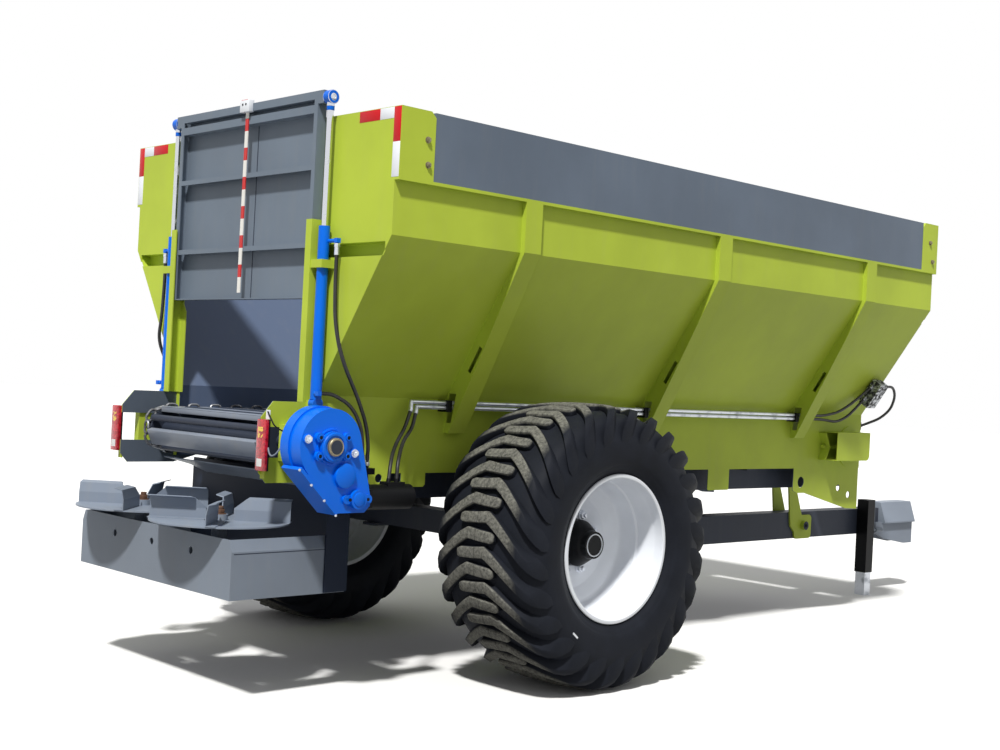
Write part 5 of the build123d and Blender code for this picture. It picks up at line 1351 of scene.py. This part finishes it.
    def piece(self, shape: Shape, name: str, material: bpy.types.Material, slot: str,
              replaces: str = "") -> None:
        """Finish a mesh as a piece of this wheel.

        Args:
            shape: The mesh.
            name: The piece's name without its side.
            material: Its finish.
            slot: The record's slot that its finish belongs to.
            replaces: Name without its side of the node that it stands for, if any.
        """
        side = self.side.value
        node = f"{replaces}_{side}" if replaces else ""
        shape.piece(f"{name}_{side}", material, slot, f"wheel_{side}", node)

    def build(self) -> None:
        """Build the whole wheel."""
        self.tyre()
        if self.side is Side.RIGHT:
            self.wall_mark()
        self.dished_rim()
        self.fittings()


# ------------------------------------------------------------------ chain floor
@dataclass
class ChainFloor:
    """Two strands of round-link chain with their flat slats and round bars.

    Attributes:
        links_finish: Finish of the links.
        slats_finish: Finish of the slats.
        bars_finish: Finish of the round bars.
        across: Place of each strand from the middle.
        wire: Diameter of a link's wire.
        width: Width of a link.
        pitch: Wished pitch of the links.
        slat_pitch: Wished pitch of the slats.
        slat_width: Width of a slat.
        slat_rise: Its top above the chain's middle.
        slat_drop: Depth of its turned-down edges under the chain's middle.
        sheet: Thickness of the slats' sheet.
        slat_rounds: Width of the rounded edges of a slat's top and of its turned-down edges.
        bar_radius: Radius of the round bars.
        bar_drop: Their middle under the chain's middle.
    """

    links_finish: bpy.types.Material
    slats_finish: bpy.types.Material
    bars_finish: bpy.types.Material
    across: float = 0.480
    wire: float = 0.013
    width: float = 0.046
    pitch: float = 0.062
    slat_pitch: float = 0.200
    slat_width: float = 0.076
    slat_rise: float = 0.006
    slat_drop: float = 0.021
    sheet: float = 0.005
    slat_rounds: tuple[float, float] = (0.0015, 0.001)
    bar_radius: float = 0.0165
    bar_drop: float = 0.008

    def ends(self) -> tuple[Vector, Vector, float]:
        """Give both shafts' middles and the radius of the chain's middle line."""
        low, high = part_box("chain_floor")
        reach = (high.z - low.z) / 2
        z = (low.z + high.z) / 2
        rear, front = Vector((0, low.y + reach, z)), Vector((0, high.y - reach, z))
        return rear, front, reach - self.width / 2

    def length(self) -> float:
        """Give the length of the chain's middle line, all the way round."""
        rear, front, radius = self.ends()
        return 2 * (front.y - rear.y + math.pi * radius)

    def place(self, along: float) -> Matrix:
        """Give the place and turn at a length along the chain from the top of the drive shaft.

        Args:
            along: The length, rearwards round the drive shaft first.

        Returns:
            A matrix that lays +Y along the chain and +Z outwards.
        """
        rear, front, radius = self.ends()
        straight, bend = front.y - rear.y, math.pi * radius
        along %= 2 * (straight + bend)
        if along < bend:
            angle = along / radius
            centre = rear
        elif along < bend + straight:
            under = rear + Vector((0, along - bend, -radius))
            return Matrix.Translation(under) @ Matrix.Rotation(math.pi, 4, "X")
        elif along < 2 * bend + straight:
            angle = math.pi + (along - bend - straight) / radius
            centre = front
        else:
            return Matrix.Translation(front + Vector((0, 2 * bend + straight - along, radius)))
        turn = Matrix.Rotation(angle, 4, "X")
        return Matrix.Translation(centre) @ turn @ Matrix.Translation((0, 0, radius))

    def link(self, shape: Shape) -> list[bmesh.types.BMVert]:
        """Add one flat link, its length along Y.

        Args:
            shape: The chain's mesh.

        Returns:
            Its vertices.
        """
        work = shape.work
        before = set(work.verts)
        bend = (self.width - self.wire) / 2
        half = self.pitch / 2 - bend
        turn = Matrix.Translation((bend, half, 0)) @ Matrix.Rotation(math.pi / 2, 4, "X")
        circle = bmesh.ops.create_circle(work, segments=6, radius=self.wire / 2, matrix=turn)
        ring = circle["verts"]
        geometry = ring + edges_at(ring)
        for centre, shift in ((half, -2 * half), (-half, 2 * half)):
            end = bmesh.ops.spin(work, geom=geometry, cent=(0, centre, 0), axis=ALONG_Z,
                                 angle=math.pi, steps=4)["geom_last"]
            edges = [item for item in end if isinstance(item, bmesh.types.BMEdge)]
            grown = bmesh.ops.extrude_edge_only(work, edges=edges)["geom"]
            verts = verts_of(grown)
            bmesh.ops.translate(work, vec=(0, shift, 0), verts=verts)
            geometry = verts + [item for item in grown if isinstance(item, bmesh.types.BMEdge)
                                and all(vert in verts for vert in item.verts)]
        bmesh.ops.remove_doubles(work, verts=shape.since(before), dist=0.0001)
        return shape.since(before)

    def strands(self) -> None:
        """Build both strands, each link turned a quarter from the one before."""
        length = self.length()
        count = 2 * round(length / self.pitch / 2)
        shape = Shape()
        master = self.link(shape)
        for across in (self.across, -self.across):
            for index in range(count):
                roll = Matrix.Rotation(math.pi / 2 * (index % 2), 4, "Y")
                where = self.place((index + 0.5) * length / count)
                shape.copied(master, Matrix.Translation((across, 0, 0)) @ where @ roll)
        bmesh.ops.delete(shape.work, geom=master, context="VERTS")
        shape.piece("chain_links", self.links_finish, "steel", replaces="chain_floor", sharp=60.0)

    def slats(self) -> None:
        """Build the folded slats, and a round bar halfway between two of them."""
        length = self.length()
        count = round(length / self.slat_pitch)
        half, wide = self.across - self.width / 2, self.slat_width / 2
        top, foot = self.slat_rise, -self.slat_drop
        under = top - self.sheet
        shape, bars = Shape(), Shape()
        slat = shape.block((-half, -wide, under), (half, wide, top), self.slat_rounds[0])
        for edge in (-wide, wide - self.sheet):
            slat += shape.block((-half, edge, foot), (half, edge + self.sheet, under),
                                self.slat_rounds[1])
        bar = bars.drum((-half, 0, -self.bar_drop), (half, 0, -self.bar_drop), self.bar_radius, 14)
        for index in range(count):
            shape.copied(slat, self.place(index * length / count))
            bars.copied(bar, self.place((index + 0.5) * length / count))
        bmesh.ops.delete(shape.work, geom=slat, context="VERTS")
        bmesh.ops.delete(bars.work, geom=bar, context="VERTS")
        shape.piece("chain_slats", self.slats_finish, "steel")
        bars.piece("chain_bars", self.bars_finish, "steel")

    def build(self) -> None:
        """Build the whole chain floor."""
        self.strands()
        self.slats()


# ------------------------------------------------------------------ drive
@dataclass
class DriveFittings:
    """Bosses, bolts, screws and collar on the gearbox's outer face.

    Places beside the drive shaft are given as Y and Z from its middle, and outlines and
    steps start from the bosses' face or from the case's.

    Attributes:
        blue: Finish of the castings.
        zinc: Finish of the bright bolts.
        dark: Finish of the socket screws.
        bronze: Finish of the shaft's collar.
        depth: Depth of the case's face behind the bosses' face.
        output_boss: Outline of the boss round the drive shaft.
        case_ring: Outline of the ring turned on the case round that boss.
        collar: Outline of the collar on the shaft's end.
        cover_place: Middle of the round cover.
        cover: The cover's step out of the case.
        input_place: Middle of the input boss.
        input_boss: That boss's step.
        input_ears: Half the distance between its screws.
        case_bolts: Middles of the bright case bolts.
        seat: Step of the seat under each.
        bolt_size: Diameter of their thread.
        ears: Middles of the ears' screws.
        ear_ring: Outline of the ring round each.
        screw: A socket screw's step.
        flank: Middles of the bolts along the flank's flange.
        flank_bolt: Step of each.
    """

    blue: bpy.types.Material
    zinc: bpy.types.Material
    dark: bpy.types.Material
    bronze: bpy.types.Material
    depth: float = 0.022
    output_boss: Outline = ((-0.004, 0.048), (0.004, 0.049), (0.004, 0.058), (-0.002, 0.062))
    case_ring: Outline = ((0.0, 0.078), (0.006, 0.077), (0.006, 0.069), (0.0, 0.068))
    collar: Outline = (
        (-0.002, 0.039), (0.012, 0.039), (0.0155, 0.036), (0.0155, 0.028), (0.008, 0.0265),
        (0.008, 0.018), (0.012, 0.0165), (0.012, 0.009), (0.009, 0.007), (0.009, 0.0005),
        (-0.002, 0.0005),
    )
    cover_place: tuple[float, float] = (0.071, -0.122)
    cover: Step = (0.004, 0.0185, 0.0535, 48, 0.006)
    input_place: tuple[float, float] = (0.144, -0.223)
    input_boss: Step = (-0.003, 0.004, 0.030, 36, 0.003)
    input_ears: float = 0.048
    case_bolts: Places = ((-0.128, 0.032), (0.117, -0.027))
    seat: Step = (-0.001, 0.008, 0.0215, 28, 0.003)
    bolt_size: float = 0.016
    ears: Places = ((0.072, 0.039), (-0.072, 0.039), (0.072, -0.039), (-0.072, -0.039))
    ear_ring: Outline = ((-0.001, 0.0085), (0.0015, 0.0088), (0.0015, 0.0125), (-0.001, 0.0135))
    screw: Step = (-0.002, 0.0008, 0.0075, 16, 0.0)
    flank: Places = ((-0.161, -0.096), (-0.098, -0.159), (-0.028, -0.225), (0.036, -0.289))
    flank_bolt: Step = (0.002, 0.0075, 0.0062, 6, 0.001)

    def build(self) -> None:
        """Build all of it on the gearbox's face."""
        low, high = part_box("chain_shafts")
        shaft_y, shaft_z = low.y + (high.z - low.z) / 2, (low.z + high.z) / 2
        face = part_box("gearbox")[1].x
        case = face - self.depth

        def spot(x: float, y: float = 0.0, z: float = 0.0) -> Triple:
            """Give a point at a face, beside the shaft's middle."""
            return x, shaft_y + y, shaft_z + z

        blue, zinc, dark, bronze = Shape(), Shape(), Shape(), Shape()
        blue.turned(self.output_boss, 48, spot(face))
        blue.turned(self.case_ring, 48, spot(case))
        blue.stack(spot(case, *self.cover_place), ALONG_X, [self.cover])
        blue.stack(spot(face, *self.input_place), ALONG_X, [self.input_boss])
        for place in self.case_bolts:
            blue.stack(spot(case, *place), ALONG_X, [self.seat])
            zinc.bolt(spot(case + self.seat[1], *place), ALONG_X, self.bolt_size)
        for place in self.ears:
            dark.stack(spot(face, *place), ALONG_X, [self.screw])
            blue.turned(self.ear_ring, 24, spot(face, *place))
        for aside in (-self.input_ears, self.input_ears):
            y, z = self.input_place
            dark.stack(spot(face, y + aside, z), ALONG_X, [self.screw])
        for place in self.flank:
            zinc.stack(spot(case, *place), ALONG_X, [self.flank_bolt])
        bronze.turned(self.collar, 40, spot(face))
        blue.piece("gearbox_bosses", self.blue, "blue")
        zinc.piece("gearbox_bolts", self.zinc, "chrome")
        dark.piece("gearbox_screws", self.dark, "black")
        bronze.piece("shaft_collar", self.bronze, "steel")


# ------------------------------------------------------------------ body
@dataclass
class Markings:
    """Reflective tapes, blank label and the bolts of the corner posts.

    Attributes:
        red: Finish of the red tape.
        white: Finish of the white tape and the label.
        bronze: Finish of the bolts.
        width: Width of a tape.
        reach: Length of each colour.
        across: Inner end of the upper tape.
        middle: Where the upper tape changes colour.
        margin: Sheet left free at the tapes' outer edges.
        lift: How far a tape stands proud of the sheet, and goes into it.
        tape_round: Width of a tape's rounded edges.
        label: Corners of the label: X, Y from the arms' rear end and Z from their top.
        bolts: Post bolts: place along the machine and height.
        bolt_size: Diameter of their thread.
    """

    red: bpy.types.Material
    white: bpy.types.Material
    bronze: bpy.types.Material
    width: float = 0.047
    reach: float = 0.147
    across: float = 0.790
    middle: float = 0.930
    margin: float = 0.002
    lift: float = 0.0008
    tape_round: float = 0.0003
    label: tuple[Triple, Triple] = ((0.628, 0.001, -0.075), (0.658, 0.0025, -0.036))
    bolts: Places = ((-2.594, 2.414), (-2.587, 2.309), (1.575, 2.418), (1.611, 2.302))
    bolt_size: float = 0.013

    def build(self) -> None:
        """Build the tapes of both sides, the label and the bolts."""
        low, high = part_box("hopper_rear_wall")
        edge, top = high.x - self.margin, high.z - self.margin
        inner, band = edge - self.width, top - self.width
        first, second = top - self.reach, top - 2 * self.reach
        red, white, bronze = Shape(), Shape(), Shape()
        for shape, left, foot, right, head in (
            (red, inner, first, edge, top), (red, self.across, band, self.middle, top),
            (white, inner, second, edge, first), (white, self.middle, band, inner, top),
        ):
            shape.block((left, low.y - self.lift, foot), (right, low.y + self.lift, head),
                        self.tape_round)
        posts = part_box("board_posts")[1].x
        for y, z in self.bolts:
            bronze.bolt((posts, y, z), ALONG_X, self.bolt_size)
        for shape in (red, white, bronze):
            shape.mirrored()
        arm_low, arm_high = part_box("drive_arms")
        white.block(*((x, arm_low.y + y, arm_high.z + z) for x, y, z in self.label))
        red.piece("red_tapes", self.red, "lamp")
        white.piece("white_tapes", self.white, "white")
        bronze.piece("post_bolts", self.bronze, "chrome")


@dataclass
class TailLamps:
    """Both tail lamps: faceted lens on a dark backing.

    Attributes:
        lens: Finish of the lens.
        black: Finish of the backing.
        width: Width of a lamp.
        lens_back: The lens's rear face from the lamp's.
        back_depth: Depth of the backing.
        inset: How far the backing stays inside the lens's outline.
        rounds: Width of the rounded edges of the lens and of the backing.
    """

    lens: bpy.types.Material
    black: bpy.types.Material
    width: float = 0.061
    lens_back: float = 0.006
    back_depth: float = 0.010
    inset: float = 0.001
    rounds: tuple[float, float] = (0.006, 0.002)

    def build(self) -> None:
        """Build the lamps in the carried-over ones' place."""
        low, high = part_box("tail_lamps")
        lens, back = Shape(), Shape()
        inner, inset = high.x - self.width, self.inset
        lens.block((inner, low.y, low.z), (high.x, high.y - self.lens_back, high.z),
                   self.rounds[0])
        back.block((inner + inset, high.y - self.back_depth, low.z + inset),
                   (high.x - inset, high.y, high.z - inset), self.rounds[1])
        for shape in (lens, back):
            shape.mirrored()
        lens.piece("lamp_lenses", self.lens, "lamp", replaces="tail_lamps")
        back.piece("lamp_backs", self.black, "black")


@dataclass
class LampWires:
    """Wire and lead between the right lamp and the arm that carries it.

    Attributes:
        black: Finish of the wire.
        grey: Finish of the lead.
        wire: The wire at the lamp's upper end.
        lead: The lead at its lower end.
    """

    black: bpy.types.Material
    grey: bpy.types.Material
    wire: Wire = Wire("lamp_wire", (
        (0.645, -3.0365, 1.238), (0.675, -3.0375, 1.205), (0.70, -3.030, 1.170),
        (0.7305, -2.985, 1.150),
    ), 0.0032)
    lead: Wire = Wire("lamp_lead", (
        (0.652, -3.030, 1.085), (0.675, -3.040, 1.052), (0.715, -3.036, 1.058),
        (0.728, -3.015, 1.100), (0.7315, -2.965, 1.160),
    ), 0.0036)

    def build(self) -> None:
        """Build both."""
        self.wire.build(self.black)
        self.lead.build(self.grey)


@dataclass
class HoseFittings:
    """Pressed ferrules and nuts on the ends of the lift cylinders' hoses.

    Attributes:
        zinc: Finish of the ferrules.
        ends: Each end on the right: point and direction along the hose.
        ferrule: Steps along the hose: nut, sleeve and the sleeve's three pressed rings.
    """

    zinc: bpy.types.Material
    ends: tuple[tuple[Triple, Triple], ...] = (
        ((0.711, -2.769, 1.972), (0, 0, -1)), ((0.664, -2.509, 1.008), (0, 0, 1)),
        ((0.684, -2.552, 1.008), (0, 0, 1)),
    )
    ferrule: tuple[Step, ...] = (
        (0.0, 0.016, 0.0145, 6, 0.0015), (0.012, 0.050, 0.0112, 20, 0.0015),
        (0.0225, 0.0255, 0.012, 20, 0.0), (0.031, 0.034, 0.012, 20, 0.0),
        (0.0395, 0.0425, 0.012, 20, 0.0),
    )

    def build(self) -> None:
        """Build the ferrules of both sides."""
        shape = Shape()
        for point, way in self.ends:
            shape.stack(point, way, self.ferrule)
        shape.mirrored()
        shape.piece("hose_ferrules", self.zinc, "chrome")


@dataclass
class HangerPins:
    """Dark caps on the pins of the hangers that carry the drawbar.

    Attributes:
        dark: Finish of the caps.
        place: The pin's place along the machine and its height.
        cap: Outline of a cap from the hanger's face: X and radius.
        bolt_rise: Where its bolt starts from that face.
        bolt_size: Diameter of the bolt's thread.
    """

    dark: bpy.types.Material
    place: tuple[float, float] = (1.828, 0.525)
    cap: Outline = (
        (-0.002, 0.012), (0.0015, 0.012), (0.003, 0.0236), (0.0015, 0.0295), (-0.002, 0.0295),
    )
    bolt_rise: float = 0.001
    bolt_size: float = 0.014

    def build(self) -> None:
        """Build the caps and their bolts on both sides."""
        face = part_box("drawbar_hangers")[1].x
        shape = Shape()
        shape.turned(self.cap, 40, (face, *self.place))
        shape.bolt((face + self.bolt_rise, *self.place), ALONG_X, self.bolt_size)
        shape.mirrored()
        shape.piece("hanger_caps", self.dark, "dark")


# ------------------------------------------------------------------ gate and spinners
@dataclass
class GateFittings:
    """What is fixed on the lifting gate: seam, rod eyes, and the scale's block and screws.

    Attributes:
        dark: Finish of the seam.
        blue: Finish of the rod eyes.
        zinc: Finish of the eyes' balls.
        black: Finish of the screws.
        white: Finish of the scale's block.
        sheet: Thickness of the gate's sheet.
        seam_aside: The seam's place beside the scale.
        seam_width: Width of the seam.
        seam_depths: How far the seam stands proud of the sheet and goes into it.
        seam_ends: Sheet left free under the seam and above it.
        eye: Radius of a rod eye, for its middle's place.
        inset: The eye's middle from the rods' outermost face.
        eye_ring: Outline of an eye: X and radius.
        ball: Outline of the ball in it.
        neck: Step of the blue neck on the rod, upwards from the eye's foot.
        block: How far the scale's block goes past the stick: aside, rearwards and forwards.
        block_drop: Its foot under the stick's top.
        block_round: Width of its rounded edges.
        screws_aside: Half the distance between the block's screws.
        screws_drop: Their middle under the stick's top.
        screw: A screw's step, forwards from the stick's rear face.
    """

    dark: bpy.types.Material
    blue: bpy.types.Material
    zinc: bpy.types.Material
    black: bpy.types.Material
    white: bpy.types.Material
    sheet: float = 0.005
    seam_aside: float = 0.006
    seam_width: float = 0.004
    seam_depths: tuple[float, float] = (0.0015, 0.001)
    seam_ends: tuple[float, float] = (0.006, 0.10)
    eye: float = 0.030
    inset: float = 0.020
    eye_ring: Outline = (
        (-0.0206, 0.016), (-0.0206, 0.0275), (-0.0175, 0.0308), (0.0175, 0.0308),
        (0.0206, 0.0275), (0.0206, 0.016),
    )
    ball: Outline = (
        (0.0, 0.0155), (0.0206, 0.0150), (0.0222, 0.0125), (0.0226, 0.0085),
        (0.0210, 0.0075), (0.012, 0.0070), (0.0, 0.0068),
    )
    neck: Step = (-0.029, 0.006, 0.0172, 28, 0.003)
    block: Triple = (0.012, 0.0008, 0.030)
    block_drop: float = 0.058
    block_round: float = 0.004
    screws_aside: float = 0.013
    screws_drop: float = 0.022
    screw: Step = (0.002, -0.002, 0.0058, 16, 0.001)

    def panel_seam(self) -> None:
        """Build the seam down the gate's panel."""
        low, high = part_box("gate_panel")
        face, left = high.y - self.sheet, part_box("gauge_stick")[1].x + self.seam_aside
        (proud, into), (foot, head) = self.seam_depths, self.seam_ends
        shape = Shape()
        shape.block((left, face - proud, low.z + foot),
                    (left + self.seam_width, face + into, high.z - head))
        shape.piece("gate_seam", self.dark, "dark", "gate")

    def eyes(self) -> None:
        """Build both rods' eyes with their necks and balls."""
        low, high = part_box("gate_rods")
        middle = (high.x - self.inset, (low.y + high.y) / 2, high.z - self.eye)
        foot = (middle[0], middle[1], middle[2] - self.eye)
        blue, zinc = Shape(), Shape()
        blue.stack(foot, ALONG_Z, [self.neck])
        blue.turned(self.eye_ring, 36, middle)
        zinc.turned(self.ball, 32, middle)
        for shape in (blue, zinc):
            shape.mirrored()
        blue.piece("rod_eyes", self.blue, "blue", "gate")
        zinc.piece("eye_balls", self.zinc, "chrome", "gate")

    def scale(self) -> None:
        """Build the block at the scale's top and its screws."""
        low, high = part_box("gauge_stick")
        aside, back, ahead = self.block
        white, black = Shape(), Shape()
        white.block((low.x - aside, low.y - back, high.z - self.block_drop),
                    (high.x + aside, low.y + ahead, high.z), self.block_round)
        for shift in (-self.screws_aside, self.screws_aside):
            point = ((low.x + high.x) / 2 + shift, low.y, high.z - self.screws_drop)
            black.stack(point, ALONG_Y, [self.screw])
        white.piece("scale_block", self.white, "white", "gate")
        black.piece("scale_screws", self.black, "black", "gate")

    def build(self) -> None:
        """Build all of it on the gate."""
        self.panel_seam()
        self.eyes()
        self.scale()


@dataclass
class SpinnerFittings:
    """Hub nuts on the spinner discs, and the bolts and seams of their box.

    Attributes:
        rust: Finish of the hub nuts.
        dark: Finish of the bolts and seams.
        hub: Height of the disc's hub plate.
        nut: Steps up from it: washer, nut and thread.
        bolts: Number of bolts along the box.
        spacing: Distance between them.
        bolt_size: Diameter of their thread.
        bolt_lift: Where a bolt starts inside the box's rear face.
        bolt_rise: The bolts' height over the box's lower edge.
        bolt_end: Step of a bolt's end from the box's rear face.
        seam: Heights between which a seam lies.
        seam_depths: How far a seam goes into the sheet and stands proud of it.
        seam_ends: Sheet left free at each of its ends.
    """

    rust: bpy.types.Material
    dark: bpy.types.Material
    hub: float = 0.748
    nut: tuple[Step, ...] = (
        (0.024, 0.030, 0.0265, 28, 0.002), (0.030, 0.048, 0.0215, 6, 0.002),
        (0.047, 0.061, 0.0138, 20, 0.002),
    )
    bolts: int = 6
    spacing: float = 0.20
    bolt_size: float = 0.008
    bolt_lift: float = 0.0005
    bolt_rise: float = 0.028
    bolt_end: Step = (0.003, 0.00005, 0.008, 16, 0.0)
    seam: tuple[float, float] = (0.640, 0.6435)
    seam_depths: tuple[float, float] = (0.001, 0.0006)
    seam_ends: float = 0.012

    def nuts(self) -> None:
        """Build the hub nut on each disc."""
        for side in Side:
            low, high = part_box(f"spinner_disc_{side.value}")
            middle = (low + high) / 2
            shape = Shape()
            shape.stack((middle.x, middle.y, self.hub), ALONG_Z, self.nut)
            shape.piece(f"spinner_nut_{side.value}", self.rust, "steel", f"spinner_{side.value}")

    def box(self) -> None:
        """Build the bolts along the box and the seams on its ends."""
        low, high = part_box("spinner_box")
        bolts, seams = Shape(), Shape()
        for index in range(self.bolts):
            x = (index - (self.bolts - 1) / 2) * self.spacing
            z = low.z + self.bolt_rise
            bolts.bolt((x, low.y + self.bolt_lift, z), ALONG_Y, self.bolt_size)
            bolts.stack((x, low.y, z), ALONG_Y, [self.bolt_end])
        (foot, head), (into, proud) = self.seam, self.seam_depths
        seams.block((high.x - into, low.y + self.seam_ends, foot),
                    (high.x + proud, high.y - self.seam_ends, head))
        seams.mirrored()
        bolts.piece("box_bolts", self.dark, "dark")
        seams.piece("box_seams", self.dark, "dark")

    def build(self) -> None:
        """Build them on the discs and the box."""
        self.nuts()
        self.box()


# ------------------------------------------------------------------ the machine
@dataclass
class Machine:
    """Carried-over nodes, their finishes, and the pieces built round them.

    Attributes:
        lamp_inset: A lamp's middle from its outer side.
        bands_start: Where the scale's bands start above its foot.
        bands_pitch: Height of one pair of bands.
        bands: Screen colours of the bands.
        finishes: Finished materials by name.
    """

    frame: dict
    lamp_inset: float = 0.0305
    bands_start: float = 0.072
    bands_pitch: float = 0.136
    bands: tuple[Colour, Colour] = ((205, 32, 30), (238, 236, 230))
    finishes: dict[str, bpy.types.Material] = field(default_factory=dict)

    def finish_for(self, slot: str) -> bpy.types.Material:
        """Give the material of a slot, made once.

        Args:
            slot: The record's slot name.

        Returns:
            Its material.
        """
        if slot not in self.finishes:
            self.finishes[slot] = self.make_finish(slot)
        return self.finishes[slot]

    def make_finish(self, slot: str) -> bpy.types.Material:
        """Make the material of a slot.

        Args:
            slot: The record's slot name.

        Returns:
            Its material.
        """
        if slot == "rubber":
            low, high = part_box("tyre_right")
            centre, tread = (low + high) / 2, (high.z - low.z) / 2
            return TyreRubber("tyre_rubber", centre.y, centre.z, tread, centre.x).material()
        if slot == "lamp":
            low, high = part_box("tail_lamps")
            return Lens("lamp_lens", low.z, high.z, high.x - self.lamp_inset).material()
        if slot == "stick":
            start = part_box("gauge_stick")[0].z + self.bands_start
            return Banded("gauge_bands", start, self.bands_pitch, *self.bands).material()
        return SLOTS[slot].value.material()

    def finish(self, finish: Finish) -> bpy.types.Material:
        """Give a finish's material, made once.

        Args:
            finish: The finish.

        Returns:
            Its material.
        """
        if finish in SLOTS.values():
            return self.finish_for(next(slot for slot, value in SLOTS.items() if value is finish))
        if finish.name not in self.finishes:
            self.finishes[finish.name] = finish.value.material()
        return self.finishes[finish.name]

    def dress_nodes(self) -> None:
        """Give every carried-over node its finish."""
        for part in self.frame["record"]["subparts"]:
            node = self.frame["nodes"][part["node"]]
            node.data.materials.clear()
            own = NODES.get(part["node"])
            material = self.finish(own) if own else self.finish_for(part["material_slot"])
            node.data.materials.append(material)
            LOG.info("dressed %s", part["node"])

    def build(self) -> None:
        """Build every new piece."""
        blue, white, black, dark = (
            self.finish_for(slot) for slot in ("blue", "white", "black", "dark")
        )
        rubber, lamp, grey = (self.finish_for(slot) for slot in ("rubber", "lamp", "grey"))
        bright, bronze = self.finish(Finish.BRIGHT), self.finish(Finish.BRONZE)
        for side in Side:
            Wheel(side, rubber, white, self.finish(Finish.NUT), white).build()
        ChainFloor(self.finish(Finish.STEEL), self.finish(Finish.SLAT), dark).build()
        DriveFittings(blue, bright, black, bronze).build()
        Markings(self.finish(Finish.RED), white, bronze).build()
        TailLamps(lamp, black).build()
        GateFittings(dark, blue, bright, black, white).build()
        SpinnerFittings(self.finish(Finish.RUST), dark).build()
        HoseFittings(bright).build()
        HangerPins(dark).build()
        LampWires(black, grey).build()


def main() -> None:
    """Load the frame, build the pieces in order and report each one."""
    logging.basicConfig(level=logging.INFO, format="%(name)s: %(message)s")
    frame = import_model()
    bpy.context.scene.view_settings.view_transform = "Standard"
    Studio().build()
    machine = Machine(frame)
    machine.dress_nodes()
    machine.build()


if __name__ == "__main__":
    main()
